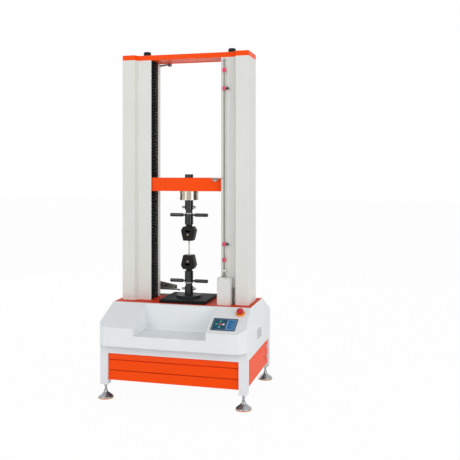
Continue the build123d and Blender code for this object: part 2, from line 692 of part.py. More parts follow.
def guide_columns():
    """The two ground columns that guide the crosshead, with a spigot at each end."""
    spigot = GUIDE_SPIGOT_RADIUS - RUNNING_FIT
    low = TABLE_LOW - GUIDE_SPIGOT_DEPTH
    column = turned([
        (0, low), (spigot, low), (spigot, TABLE_LOW), (GUIDE_RADIUS, TABLE_LOW),
        (GUIDE_RADIUS, TOP_BEAM_LOW), (spigot, TOP_BEAM_LOW), (spigot, TOP_BEAM_HIGH), (0, TOP_BEAM_HIGH),
    ])
    return [Pos(-GUIDE_X, 0, 0) * column, Pos(GUIDE_X, 0, 0) * column]


def belt_pulley(radius, bore, hollow):
    """A flanged belt pulley, hollowed each side of its web where it is large."""
    rim = radius + PULLEY_RIM
    low = PULLEY_LOW
    top = PULLEY_TOP
    wheel = turned([
        (bore, low), (rim, low), (rim, low + PULLEY_RIM), (radius, low + PULLEY_RIM),
        (radius, top - PULLEY_RIM), (rim, top - PULLEY_RIM), (rim, top), (bore, top),
    ])
    if hollow:
        outer = radius - PULLEY_RIM_WALL
        depth = (PULLEY_HEIGHT - PULLEY_WEB) / 2
        for z in (low, top - depth):
            wheel -= upright(outer, z, z + depth) - upright(PULLEY_HUB_RADIUS, z, z + depth)
    return wheel


def lead_screw():
    """A lead screw with its journals, and the pulley on its lower end."""
    journal = SCREW_JOURNAL_RADIUS
    low = TABLE_LOW + SCREW_END_GAP
    high = TOP_BEAM_LOW - SCREW_END_GAP
    top = TOP_BEAM_LOW + TOP_BEARING_HEIGHT
    screw = turned([
        (0, PULLEY_LOW), (journal, PULLEY_LOW), (journal, low), (SCREW_RADIUS, low),
        (SCREW_RADIUS, high), (SCREW_TOP_RADIUS, high), (SCREW_TOP_RADIUS, top), (0, top),
    ])
    return [screw, belt_pulley(PULLEY_RADIUS, journal + RUNNING_FIT, True)]


def ring(inner, outer, z0, z1):
    """A plain ring on the axis."""
    return turned([(inner, z0), (outer, z0), (outer, z1), (inner, z1)])


def screw_bearings():
    """Three bearings on each screw."""
    journal = SCREW_JOURNAL_RADIUS + RUNNING_FIT
    race = SCREW_JOURNAL_RADIUS + BEARING_WALL - RUNNING_FIT
    top = SCREW_TOP_RADIUS + RUNNING_FIT
    top_race = SCREW_TOP_RADIUS + BEARING_WALL - RUNNING_FIT
    rings = [
        ring(journal, race, BEAM_LOW, BEAM_LOW + BEARING_HEIGHT),
        ring(journal, race, TABLE_LOW - BEARING_HEIGHT, TABLE_LOW),
        ring(top, top_race, TOP_BEAM_LOW, TOP_BEAM_LOW + TOP_BEARING_HEIGHT),
    ]
    return [Pos(sx * SCREW_X, 0, 0) * one for sx in (-1, 1) for one in rings]


def column_plan():
    """The stepped plan of the right column."""
    return [
        (COLUMN_INNER, -COLUMN_RECESS), (COLUMN_STEP_IN, -COLUMN_RECESS),
        (COLUMN_STEP_OUT, -COLUMN_HALF_DEPTH), (COLUMN_OUTER, -COLUMN_HALF_DEPTH),
        (COLUMN_OUTER, COLUMN_HALF_DEPTH), (COLUMN_INNER, COLUMN_HALF_DEPTH),
    ]


def column_cover():
    """The folded front cover of the right column, and the rear cover inside its outer wall."""
    outer = plan_outline(column_plan(), 0, COLUMN_FOLD_RADIUS)
    inner = plan_outline(column_plan(), COLUMN_SHEET)
    skin = drawn_z(outer, TABLE_Z, COLUMN_TOP) - drawn_z(inner, TABLE_Z, COLUMN_TOP)
    inside = COLUMN_INNER + COLUMN_SHEET
    left = COLUMN_INNER - OVERRUN
    slot = block(left, inside, -COLUMN_RECESS + COLUMN_SHEET, SLOT_REAR, TABLE_Z, COLUMN_TOP)
    edge = COLUMN_OUTER - COLUMN_SHEET
    back = COLUMN_HALF_DEPTH + OVERRUN
    rear = skin & block(left, edge - SEAT, SLOT_REAR, back, TABLE_Z, COLUMN_TOP)
    front = skin - slot - block(left, edge, SLOT_REAR, back, TABLE_Z, COLUMN_TOP)
    return [front, rear]


def cap_plan():
    """The plan of the cap: both columns and a straight front between them."""
    right = column_plan()[1:5]
    left = [(-x, y) for x, y in reversed(right)]
    return right + left


def top_beam():
    """The thick plate that ties the heads of the columns."""
    beam = drawn_z(plan_outline(cap_plan(), CAP_SHEET + SEAT), TOP_BEAM_LOW, TOP_BEAM_HIGH)
    for sx in (-1, 1):
        beam -= upright(GUIDE_SPIGOT_RADIUS, TOP_BEAM_LOW, TOP_BEAM_HIGH, sx * GUIDE_X)
        race = SCREW_TOP_RADIUS + BEARING_WALL
        beam -= upright(race, TOP_BEAM_LOW, TOP_BEAM_LOW + TOP_BEARING_HEIGHT, sx * SCREW_X)
        beam -= upright(SCREW_CAP_STEM_RADIUS, TOP_BEAM_LOW, TOP_BEAM_HIGH, sx * SCREW_X)
    return beam


def cap():
    """The folded orange cap over the top beam, with a hole over each screw."""
    outer = drawn_z(plan_outline(cap_plan(), 0, COLUMN_FOLD_RADIUS), COLUMN_TOP, CAP_TOP)
    cover = outer - drawn_z(plan_outline(cap_plan(), CAP_SHEET), COLUMN_TOP, CAP_TOP - CAP_SHEET)
    for sx in (-1, 1):
        cover -= upright(SCREW_CAP_STEM_RADIUS, COLUMN_TOP, CAP_TOP, sx * SCREW_X)
    return cover


def screw_caps():
    """Flat-topped plugs with a rounded shoulder over the ends of the screws."""
    stem = SCREW_CAP_STEM_RADIUS - RUNNING_FIT
    crown = CAP_TOP + SCREW_CAP_HEIGHT
    head = upright(SCREW_CAP_RADIUS, CAP_TOP, crown)
    head = fillet(head.faces().sort_by(Axis.Z)[-1].edges(), SCREW_CAP_ROUND)
    plug = head + upright(stem, CAP_TOP - CAP_SHEET, CAP_TOP)
    return [Pos(sx * SCREW_X, 0, 0) * plug for sx in (-1, 1)]


def bellows(z0, z1):
    """The rectangular sleeve that the pleated bellows of one column fills."""
    x0 = COLUMN_INNER + BELLOWS_GAP
    x1 = x0 + BELLOWS_WIDTH
    wall = BELLOWS_WALL
    sleeve = block(x0, x1, -BELLOWS_FRONT, BELLOWS_REAR, z0, z1)
    return sleeve - block(x0 + wall, x1 - wall, wall - BELLOWS_FRONT, BELLOWS_REAR - wall, z0, z1)


def belt():
    """The toothed belt round the two screw pulleys and the motor pulley."""
    def loop(extra):
        circles = [
            Pos(-SCREW_X, 0, 0) * Circle(PULLEY_RADIUS + extra),
            Pos(SCREW_X, 0, 0) * Circle(PULLEY_RADIUS + extra),
            Pos(0, MOTOR_Y, 0) * Circle(MOTOR_PULLEY_RADIUS + extra),
        ]
        return make_hull([edge for circle in circles for edge in circle.edges()])
    low = PULLEY_LOW + PULLEY_RIM + SEAT
    high = PULLEY_TOP - PULLEY_RIM - SEAT
    return drawn_z(loop(SEAT + BELT_THICK), low, high) - drawn_z(loop(SEAT), low, high)


def drive_unit():
    """The gear motor on its plate and the finned servo drive beside it."""
    half = LEG_SIZE / 2
    plate_top = RAIL_TOP + MOTOR_PLATE_THICK
    wide = MOTOR_PLATE_WIDTH / 2
    plate = block(-wide, wide, CROSS_RAIL_Y - half, MOTOR_RAIL_Y + half, RAIL_TOP, plate_top)
    plate -= upright(MOTOR_SHAFT_RADIUS, RAIL_TOP, plate_top, 0, MOTOR_Y)
    side = MOTOR_SIZE / 2
    cover = side - MOTOR_END_STEP
    low = RAIL_TOP - MOTOR_LENGTH
    motor = block(-side, side, MOTOR_Y - side, MOTOR_Y + side, low + MOTOR_END_COVER, RAIL_TOP)
    motor += block(-cover, cover, MOTOR_Y - cover, MOTOR_Y + cover, low, low + MOTOR_END_COVER)
    gear = GEARBOX_SIZE / 2
    gear_top = PULLEY_LOW - PULLEY_RIM
    gearbox = block(-gear, gear, MOTOR_Y - gear, MOTOR_Y + gear, plate_top, gear_top)
    gearbox -= upright(MOTOR_SHAFT_RADIUS + RUNNING_FIT, plate_top, gear_top, 0, MOTOR_Y)
    x1 = DRIVE_BOX_X + DRIVE_BOX_WIDTH
    y0 = MOTOR_RAIL_Y - half
    y1 = y0 + DRIVE_BOX_DEPTH
    top = RAIL_TOP + DRIVE_BOX_HEIGHT
    box = block(DRIVE_BOX_X, x1, y0, y1, RAIL_TOP, top)
    pitch = DRIVE_BOX_WIDTH / DRIVE_FIN_COUNT
    for fin in range(DRIVE_FIN_COUNT):
        start = DRIVE_BOX_X + fin * pitch
        box -= block(start, start + pitch * DRIVE_FIN_SHARE, y1 - DRIVE_FIN_DEPTH, y1, RAIL_TOP, top)
    return [plate, motor, gearbox, box]


def motor_pulley():
    """The gear motor's output shaft with its belt pulley."""
    bore = MOTOR_SHAFT_RADIUS
    shaft = upright(bore, RAIL_TOP + MOTOR_PLATE_THICK + SEAT, PULLEY_TOP)
    wheel = belt_pulley(MOTOR_PULLEY_RADIUS, bore + RUNNING_FIT, False)
    return [Pos(0, MOTOR_Y, 0) * shaft, Pos(0, MOTOR_Y, 0) * wheel]


def platen():
    """The black square plate with a counterbored screw hole in each corner."""
    half = PLATEN_HALF
    plate = block(-half, half, -half, half, TABLE_Z, PLATEN_TOP)
    plate = chamfer(plate.faces().sort_by(Axis.Z)[-1].edges(), PLATEN_CHAMFER)
    place = half - PLATEN_SCREW_INSET
    for sx in (-1, 1):
        for sy in (-1, 1):
            low = PLATEN_TOP - PLATEN_SCREW_DEPTH
            plate -= upright(PLATEN_SCREW_RADIUS, low, PLATEN_TOP, sx * place, sy * place)
    return plate


def connector(length, foot_outline):
    """A connector from its open end at z=0 down to its foot, bored for spindle and pin."""
    thread = [(0, 0), (THREAD_RADIUS, 0), (THREAD_RADIUS, -THREAD_LENGTH), (TRAIN_RADIUS, -THREAD_LENGTH)]
    body = turned(thread + foot_outline)
    body -= upright(SPINDLE_RADIUS + RUNNING_FIT, -SPINDLE_INTO_CONNECTOR - SCREW_END_GAP, 0)
    return body - along_x(PIN_RADIUS + RUNNING_FIT, -length, length, 0, -PIN_FROM_CONNECTOR_END)


def lock_ring():
    """The polished lock ring on the open end of a connector."""
    return ring(SPINDLE_RADIUS + RUNNING_FIT, TRAIN_RADIUS, 0, LOCK_RING_LENGTH)


def lower_connector():
    """The flanged connector on the platen with its lock ring."""
    flange = -LOWER_CONNECTOR_LENGTH
    bottom = flange - FLANGE_THICK
    foot_outline = [(TRAIN_RADIUS, flange), (FLANGE_RADIUS, flange), (FLANGE_RADIUS, bottom), (0, bottom)]
    place = Pos(0, 0, LOWER_RING_LOW)
    return [place * connector(LOWER_CONNECTOR_LENGTH, foot_outline), place * lock_ring()]


def upper_connector():
    """The connector under the load cell with its lock ring."""
    end = -UPPER_CONNECTOR_LENGTH
    stud = CONNECTOR_STUD_RADIUS
    foot_outline = [(TRAIN_RADIUS, end), (stud, end), (stud, end - CONNECTOR_STUD), (0, end - CONNECTOR_STUD)]
    place = Pos(0, 0, UPPER_RING_TOP) * Rot(180, 0, 0)
    return [place * connector(UPPER_CONNECTOR_LENGTH, foot_outline), place * lock_ring()]


def grip_cavity(drawn_in, length, low=0):
    """The outline of the wedge space, from a height above the mouth up to its length."""
    spread = tan(radians(WEDGE_ANGLE))
    near = GRIP_CAVITY_MOUTH + low * spread - drawn_in
    far = GRIP_CAVITY_MOUTH + length * spread - drawn_in
    return near, far


def grip_body(sleeve_length):
    """A wedge grip body with its mouth at z=0, its neck and its spindle above."""
    right = [(GRIP_MOUTH_HALF, 0), (GRIP_WIDE_HALF, GRIP_WIDE_AT), (GRIP_TOP_HALF, GRIP_BODY_LENGTH)]
    shape = right + [(-x, z) for x, z in reversed(right)]
    body = drawn_y(front_outline(shape), -GRIP_HALF_DEPTH, GRIP_HALF_DEPTH)
    body = chamfer(body.edges(), GRIP_EDGE)
    near, far = grip_cavity(0, GRIP_CAVITY_LENGTH, -OVERRUN)
    deep = GRIP_CAVITY_HALF_DEPTH
    space = [(-near, -OVERRUN), (near, -OVERRUN), (far, GRIP_CAVITY_LENGTH), (-far, GRIP_CAVITY_LENGTH)]
    body -= drawn_y(front_outline(space), -deep, deep)
    neck_top = GRIP_BODY_LENGTH + NECK_LENGTH
    end = neck_top + sleeve_length + LOCK_RING_LENGTH
    body += upright(NECK_RADIUS, GRIP_BODY_LENGTH, neck_top)
    body += upright(SPINDLE_RADIUS, neck_top, end + SPINDLE_INTO_CONNECTOR)
    bore = PIN_RADIUS + RUNNING_FIT
    return body - along_x(bore, -NECK_RADIUS, NECK_RADIUS, 0, end + PIN_FROM_CONNECTOR_END)


def jaw():
    """The right wedge jaw of a grip, toothed towards the specimen."""
    face = SPECIMEN_THICK / 2 + RUNNING_FIT
    low = RUNNING_FIT
    high = low + JAW_LENGTH
    near, far = grip_cavity(JAW_FIT / cos(radians(WEDGE_ANGLE)), high, low)
    teeth = int(JAW_LENGTH / JAW_TOOTH_PITCH)
    points = [(near, low), (far, high)]
    for tooth in range(teeth):
        top = high - JAW_LENGTH * tooth / teeth
        points += [(face, top), (face + JAW_TOOTH, top - JAW_LENGTH / teeth)]
    deep = GRIP_CAVITY_HALF_DEPTH - SEAT
    return drawn_y(front_outline(points), -deep, deep)


def sleeve(length):
    """A clamping sleeve from z=0 at the neck, with its two handle bars near the far end."""
    tube = ring(SPINDLE_RADIUS + RUNNING_FIT, TRAIN_RADIUS, 0, length - RUNNING_FIT)
    centre = length - HANDLE_FROM_SLEEVE_END
    start = TRAIN_RADIUS - HANDLE_ROOT / 2
    root_end = TRAIN_RADIUS + HANDLE_ROOT
    outline = [
        (0, start), (HANDLE_ROOT_RADIUS, start), (HANDLE_ROOT_RADIUS, root_end),
        (HANDLE_RADIUS, root_end + HANDLE_CONE), (HANDLE_RADIUS, HANDLE_REACH - HANDLE_TIP_ROUND),
        (HANDLE_RADIUS - HANDLE_TIP_ROUND, HANDLE_REACH), (0, HANDLE_REACH),
    ]
    bar = turned(outline)
    for side in (-1, 1):
        tube += Pos(0, 0, centre) * Rot(0, side * 90, 0) * bar
    return tube


def pull_pin():
    """A pull pin along X with a head and a finger eye on its right end."""
    seat = TRAIN_RADIUS + PIN_HEAD_PROUD
    head = seat + PIN_HEAD_LENGTH
    pin = along_x(PIN_RADIUS, -TRAIN_RADIUS - PIN_PROUD, seat, 0, 0)
    pin += along_x(PIN_HEAD_RADIUS, seat, head, 0, 0)
    eye_x = head + PIN_EYE_RADIUS - PIN_EYE_THICK
    eye = along_y(PIN_EYE_RADIUS, eye_x, -PIN_EYE_THICK / 2, PIN_EYE_THICK / 2, 0)
    eye -= along_y(PIN_EYE_RADIUS - PIN_EYE_THICK, eye_x, -PIN_EYE_THICK, PIN_EYE_THICK, 0)
    return pin + (eye - block(0, head - SEAT, -seat, seat, -seat, seat))


def load_cell():
    """The polished round load cell, waisted, bored for the studs above and below."""
    r = LOAD_CELL_RADIUS
    waist = r - LOAD_CELL_GROOVE
    low = LOAD_CELL_LOW
    high = CROSSHEAD_LOW
    third = LOAD_CELL_HEIGHT / 3
    body = turned([
        (0, low), (r, low), (r, low + third), (waist, low + third + LOAD_CELL_GROOVE),
        (waist, high - third - LOAD_CELL_GROOVE), (r, high - third), (r, high), (0, high),
    ])
    body -= upright(CONNECTOR_STUD_RADIUS + RUNNING_FIT, low, low + CONNECTOR_STUD)
    return body - upright(HANGER_SHANK_RADIUS + RUNNING_FIT, high - HANGER_INTO_CELL, high)


def hanger_bolt():
    """The bolt that hangs the load cell from the crosshead, with its round nut on top."""
    top = CROSSHEAD_TOP + HANGER_HEAD
    edge = HANGER_RADIUS - CROSSHEAD_EDGE
    shank = HANGER_SHANK_RADIUS
    low = CROSSHEAD_LOW - HANGER_INTO_CELL
    return turned([
        (0, low), (shank, low), (shank, CROSSHEAD_TOP), (HANGER_RADIUS, CROSSHEAD_TOP),
        (HANGER_RADIUS, top - CROSSHEAD_EDGE), (edge, top), (0, top),
    ])


def crosshead_beam():
    """The moving beam, ribbed below, bored for nuts, bushes and hanger bolt."""
    half = CROSSHEAD_HALF
    deep = CROSSHEAD_HALF_DEPTH
    beam = block(-half, half, -deep, deep, CROSSHEAD_LOW, CROSSHEAD_TOP)
    beam = chamfer(beam.edges(), CROSSHEAD_EDGE)
    wall = CROSSHEAD_WALL
    inner = LOAD_CELL_RADIUS
    outer = SCREW_X - NUT_FLANGE_RADIUS - wall
    middle = (inner + outer) / 2
    high = CROSSHEAD_TOP - CROSSHEAD_DECK
    for sx in (-1, 1):
        for start, end in ((inner, middle - wall / 2), (middle + wall / 2, outer)):
            pocket = sorted((sx * start, sx * end))
            beam -= block(*pocket, wall - deep, deep - wall, CROSSHEAD_LOW, high)
        x = sx * SCREW_X
        beam -= upright(NUT_BODY_RADIUS, CROSSHEAD_LOW, CROSSHEAD_TOP, x)
        beam -= upright(NUT_FLANGE_RADIUS, CROSSHEAD_LOW, CROSSHEAD_LOW + NUT_FLANGE_THICK, x)
        beam -= upright(GUIDE_RADIUS + BUSH_WALL, CROSSHEAD_LOW, CROSSHEAD_TOP, sx * GUIDE_X)
    return beam - upright(HANGER_SHANK_RADIUS + RUNNING_FIT, CROSSHEAD_LOW, CROSSHEAD_TOP)


def crosshead_bearings():
    """The flanged nuts on the screws and the bushes on the guide columns."""
    bore = SCREW_RADIUS + RUNNING_FIT
    body = NUT_BODY_RADIUS - RUNNING_FIT
    flange = NUT_FLANGE_RADIUS - RUNNING_FIT
    seat = CROSSHEAD_LOW + NUT_FLANGE_THICK
    nut = turned([
        (bore, CROSSHEAD_LOW), (flange, CROSSHEAD_LOW), (flange, seat), (body, seat),
        (body, CROSSHEAD_TOP), (bore, CROSSHEAD_TOP),
    ])
    outer = GUIDE_RADIUS + BUSH_WALL - RUNNING_FIT
    bush = ring(GUIDE_RADIUS + RUNNING_FIT, outer, CROSSHEAD_LOW, CROSSHEAD_TOP)
    sides = (-1, 1)
    return [Pos(s * SCREW_X, 0, 0) * nut for s in sides] + [Pos(s * GUIDE_X, 0, 0) * bush for s in sides]


def striker():
    """The shield-shaped bracket on the crosshead and its finger beside the limit rod."""
    x0 = STRIKER_X
    x1 = x0 + STRIKER_WIDTH
    top = CROSSHEAD_TOP - CROSSHEAD_EDGE
    shoulder = top - STRIKER_HEIGHT / 2
    face = [
        (x0, shoulder), ((x0 + x1) / 2, top - STRIKER_HEIGHT), (x1, shoulder), (x1, top), (x0, top),
    ]
    front = -CROSSHEAD_HALF_DEPTH - STRIKER_THICK
    plate = drawn_y(front_outline(face), front, -CROSSHEAD_HALF_DEPTH)
    near = LIMIT_ROD_Y - STRIKER_FINGER / 2
    low = top - STRIKER_FINGER
    plate += block(x1 - STRIKER_THICK, x1, near, front, low, top)
    end = LIMIT_ROD_X - LIMIT_ROD_RADIUS - STRIKER_ROD_GAP
    return plate + block(x1 - STRIKER_THICK, end, near, near + STRIKER_FINGER, low, top)


def specimen():
    """The rubber strip held between the jaws."""
    x = SPECIMEN_THICK / 2
    y = SPECIMEN_WIDTH / 2
    return block(-x, x, -y, y, LOWER_MOUTH - SPECIMEN_HELD, UPPER_MOUTH + SPECIMEN_HELD)


def collar(z, bore):
    """A collar on the limit rod."""
    low = z - COLLAR_HEIGHT / 2
    return Pos(LIMIT_ROD_X, LIMIT_ROD_Y, 0) * ring(bore, COLLAR_RADIUS, low, low + COLLAR_HEIGHT)


def limit_rod():
    """The limit rod, its two fixed collars, and the cross clamp that joins it to the plunger."""
    rod = upright(LIMIT_ROD_RADIUS, CLAMP_LOW, COLUMN_TOP - LIMIT_ROD_TOP_GAP, LIMIT_ROD_X, LIMIT_ROD_Y)
    top = collar(COLUMN_TOP - TOP_COLLAR_DROP, LIMIT_ROD_RADIUS)
    low = collar(TABLE_Z + LOW_COLLAR_RISE, LIMIT_ROD_RADIUS)
    plunger = upright(PLUNGER_RADIUS, LIMIT_BOX_TOP - PLUNGER_INTO_BOX, CLAMP_LOW, LIMIT_ROD_X, LIMIT_ROD_Y)
    return [rod, top, low, rod_clamp(), plunger]


def rod_clamp():
    """The cross clamp on the rod's lower end, with a round-headed screw at each end."""
    high = CLAMP_LOW + CLAMP_HEIGHT
    front = LIMIT_ROD_Y - CLAMP_DEPTH / 2
    start = LIMIT_ROD_X - CLAMP_HALF_LENGTH
    end = LIMIT_ROD_X + CLAMP_HALF_LENGTH
    clamp = block(start, end, front, front + CLAMP_DEPTH, CLAMP_LOW, high)
    clamp = fillet(clamp.edges().filter_by(Axis.Z), CLAMP_ROUND)
    middle = CLAMP_LOW + CLAMP_HEIGHT / 2
    for x in (start + CLAMP_SCREW_INSET, end - CLAMP_SCREW_INSET):
        clamp += along_y(CLAMP_SCREW_RADIUS, x, front - CLAMP_SCREW_PROUD, front, middle)
    return clamp - upright(LIMIT_ROD_RADIUS, CLAMP_LOW, high, LIMIT_ROD_X, LIMIT_ROD_Y)


def rod_stop(z):
    """An adjustable stop on the limit rod with its thumb knob."""
    stop = collar(z, LIMIT_ROD_RADIUS + RUNNING_FIT)
    stem_start = LIMIT_ROD_X + COLLAR_RADIUS - KNOB_STEM_RADIUS
    stem_end = LIMIT_ROD_X + COLLAR_RADIUS + KNOB_STEM
    stop += along_x(KNOB_STEM_RADIUS, stem_start, stem_end, LIMIT_ROD_Y, z)
    return stop + along_x(KNOB_RADIUS, stem_end, stem_end + KNOB_LENGTH, LIMIT_ROD_Y, z)


def cable_points():
    """The cable's route, measured from the switch box's right side, the recess and the table."""
    return [(LIMIT_BOX_RIGHT + x, y - COLUMN_RECESS, TABLE_Z + z) for x, y, z in CABLE_ROUTE]


def limit_switch():
    """The limit switch box with its plunger guide, its cable elbow and the rod's top bracket."""
    x0 = COLUMN_INNER - LIMIT_BOX_OVERHANG
    x1 = LIMIT_BOX_RIGHT
    front = -COLUMN_HALF_DEPTH - LIMIT_BOX_PROUD
    lid = front + LIMIT_LID
    box = block(x0, x1, front, -COLUMN_RECESS - SEAT, TABLE_Z, LIMIT_BOX_TOP)
    box = fillet(box.edges().filter_by(Axis.Z), LIMIT_BOX_ROUND)
    groove = block(x0 - OVERRUN, x1 + OVERRUN, lid, lid + SEAT, TABLE_Z, LIMIT_BOX_TOP)
    box -= groove - block(x0 + SEAT, x1 - SEAT, lid, lid + SEAT, TABLE_Z, LIMIT_BOX_TOP)
    guide_top = LIMIT_BOX_TOP + PLUNGER_GUIDE_HEIGHT
    bore = PLUNGER_RADIUS + RUNNING_FIT
    box -= upright(
        bore, LIMIT_BOX_TOP - PLUNGER_INTO_BOX - PLUNGER_ROOM, LIMIT_BOX_TOP, LIMIT_ROD_X, LIMIT_ROD_Y
    )
    guide = Pos(LIMIT_ROD_X, LIMIT_ROD_Y, 0) * ring(bore, PLUNGER_GUIDE_RADIUS, LIMIT_BOX_TOP, guide_top)
    elbow_x, elbow_y, elbow_z = cable_points()[0]
    elbow = along_x(GLAND_RADIUS, x1, elbow_x, elbow_y, elbow_z + GLAND_RADIUS)
    elbow += upright(GLAND_RADIUS, elbow_z, elbow_z + 2 * GLAND_RADIUS, elbow_x, elbow_y)
    out_x, out_y, _ = cable_points()[-1]
    gland = ring(CABLE_RADIUS + SEAT, GLAND_RADIUS, TABLE_Z, TABLE_Z + GLAND_LENGTH)
    return [box, guide, elbow, Pos(out_x, out_y, 0) * gland, rod_bracket()]


def rod_bracket():
    """The bracket on the column that guides the top of the limit rod."""
    half = ROD_BRACKET_WIDTH / 2
    x0 = LIMIT_ROD_X - half
    x1 = LIMIT_ROD_X + half
    back = -COLUMN_RECESS - SEAT
    top = COLUMN_TOP - ROD_BRACKET_DROP
    plate = ROD_BRACKET_PLATE
    front = LIMIT_ROD_Y - COLLAR_RADIUS
    bracket = block(x0, x1, back - plate, back, top - ROD_BRACKET_HEIGHT, top)
    bracket += block(x0, x1, front, back, top - plate, top)
    return bracket - upright(LIMIT_ROD_RADIUS + RUNNING_FIT, top - plate, top, LIMIT_ROD_X, LIMIT_ROD_Y)


def limit_cable():
    """The short cable from the switch box elbow down into the table."""
    points = [Vector(*point) for point in cable_points()]
    radii = []
    for before, here, after in zip(points, points[1:], points[2:]):
        turn = radians((here - before).get_angle(after - here))
        shorter = min((here - before).length, (after - here).length)
        radii.append(CABLE_BEND_SHARE * shorter / tan(turn / 2))
    print("cable radii", [round(radius, 1) for radius in radii])
    path = FilletPolyline(*points, radius=radii)
    start = Plane(origin=path @ 0, z_dir=path % 0)
    return sweep(start * Circle(CABLE_RADIUS), path=path)


def on_slope(face, low, high, x, y):
    """A flat outline raised square to the sloping front."""
    return slope_place(x, y) * drawn_z(face, low, high)


def key_places():
    """The five keys of the cross, by name."""
    x = PANEL_X - KEY_CROSS_X
    up = KEY_PITCH_UP * cos(SLOPE_ANGLE)
    across = KEY_PITCH_ACROSS
    return {
        "up_key": (x, PANEL_Y - up), "down_key": (x, PANEL_Y + up), "stop_key": (x, PANEL_Y),
        "left_key": (x - across, PANEL_Y), "right_key": (x + across, PANEL_Y),
    }


def control_panel():
    """The membrane panel on the slope, with a window for each key."""
    outline = RectangleRounded(PANEL_WIDTH, PANEL_LENGTH, PANEL_ROUND)
    panel = on_slope(outline, 0, PANEL_THICK, PANEL_X, PANEL_Y)
    window = KEY_SIZE + KEY_WINDOW_GAP
    for x, y in key_places().values():
        panel -= on_slope(RectangleRounded(window, window, KEY_ROUND), 0, PANEL_THICK, x, y)
    return panel


def keys():
    """The keys, each in its window and proud of the panel."""
    low = PANEL_THICK + KEY_PROUD - KEY_THICK
    outline = RectangleRounded(KEY_SIZE, KEY_SIZE, KEY_ROUND)
    for name, (x, y) in key_places().items():
        save(name, on_slope(outline, low, low + KEY_THICK, x, y))


def emergency_stop():
    """The raised ring on the slope and the mushroom button in it."""
    place = slope_place(STOP_X, STOP_Y)
    base = ring(STOP_NECK_RADIUS + RUNNING_FIT, STOP_BASE_RADIUS, 0, STOP_BASE_HEIGHT)
    base = chamfer(base.edges().group_by(Axis.Z)[-1].sort_by(SortBy.RADIUS)[-1], STOP_BASE_CHAMFER)
    shown = STOP_BASE_HEIGHT + STOP_NECK_SHOWN
    crown = shown + STOP_CAP_HEIGHT
    head = upright(STOP_CAP_RADIUS, shown, crown)
    head &= Pos(0, 0, crown - STOP_CROWN_RADIUS) * Sphere(STOP_CROWN_RADIUS)
    rim = head.faces().filter_by(GeomType.CYLINDER).edges().sort_by(Axis.Z)[-1]
    button = fillet(rim, STOP_CAP_ROUND) + upright(STOP_NECK_RADIUS, -STOP_STEM_BELOW, shown)
    save("e_stop_ring", place * base)
    save("e_stop_button", place * button)


def extensometer_post():
    """The post behind the left column, its foot on the table and its bracket at the top."""
    x = -POST_X
    post = upright(POST_RADIUS, TABLE_Z, POST_TOP, x, POST_Y)
    bore = upright(POST_RADIUS, TABLE_Z, POST_TOP, x, POST_Y)
    boss = POST_BOSS_RADIUS
    foot_top = TABLE_Z + POST_FOOT_THICK
    base = block(x - boss, x + POST_FOOT_REACH, POST_Y - boss, POST_Y + boss, TABLE_Z, foot_top)
    base += upright(boss, foot_top, foot_top + POST_BOSS_HEIGHT, x, POST_Y)
    low = POST_TOP - POST_BRACKET_HEIGHT
    near = COLUMN_HALF_DEPTH + SEAT
    bracket = block(x - boss, x + boss, near, POST_Y + boss, low, POST_TOP)
    bracket += Pos(x, POST_Y, 0) * Rot(0, 0, -POST_BRACKET_TURN) * bracket_arm(low)
    return [post, base - bore, bracket - bore]


def bracket_arm(low):
    """The tapering arm of the top bracket along +X, with the cord pulley's block at its tip."""
    end = POST_BRACKET_REACH
    arm = ARM_THICK / 2
    taper = [(0, low), (end, POST_TOP - POST_BRACKET_TIP), (end, POST_TOP), (0, POST_TOP)]
    head = POST_PULLEY_BLOCK
    pulley_block = block(end - head, end, -head / 2, head / 2, POST_TOP - head, POST_TOP)
    return drawn_y(front_outline(taper), -arm, arm) + pulley_block


def arm_slot(start, tip, low, high, tip_height):
    """The tapering window that lightens the deep upper arm."""
    wall = ARM_SLOT_WALL
    near = start + wall
    far = tip - ARM_BLOCK
    fall = (high - low - tip_height) / (tip - start)
    roof = high - wall
    return front_outline([
        (near, low + wall), (far, low + wall), (far, roof - fall * (far - start)), (near, roof - fall * wall),
    ])


def extensometer_arm(low, high, tip_height, reach):
    """A sliding block on the post with a tapering arm and a clamp knob at its tip."""
    x = -POST_X
    half = ARM_BLOCK / 2
    arm = block(x - half, x + half, POST_Y - half, POST_Y + half, low, high)
    tip = x + reach
    thick = ARM_THICK / 2
    taper = [(x, low), (tip, low), (tip, low + tip_height), (x + half, high), (x, high)]
    web = front_outline(taper)
    if high - low > ARM_BLOCK:
        web -= arm_slot(x + half, tip, low, high, tip_height)
    arm += drawn_y(web, POST_Y - thick, POST_Y + thick)
    centre = low + tip_height / 2
    front = POST_Y - thick - ARM_KNOB_LENGTH
    arm += along_y(ARM_KNOB_RADIUS, tip - ARM_KNOB_RADIUS, front, POST_Y, centre)
    return arm - upright(POST_RADIUS + RUNNING_FIT, low, high, x, POST_Y)


def save_base():
    """The frame, the hood and what stands in it."""
    save("base_frame", base_frame())
    save("louvre_panels", *louvre_panels())
    shell = hood_shell()
    save("fascia", fascia(shell))
    save("side_covers", *side_covers(shell))
    save("rear_cover", *rear_cover(shell))
    save("table_top", table_top())
    save("lower_beam", lower_beam())
    save("drive_unit", *drive_unit())
    save("motor_pulley", *motor_pulley())
    save("drive_belt", belt())
    save("control_panel", control_panel())
    feet()
    keys()
    emergency_stop()


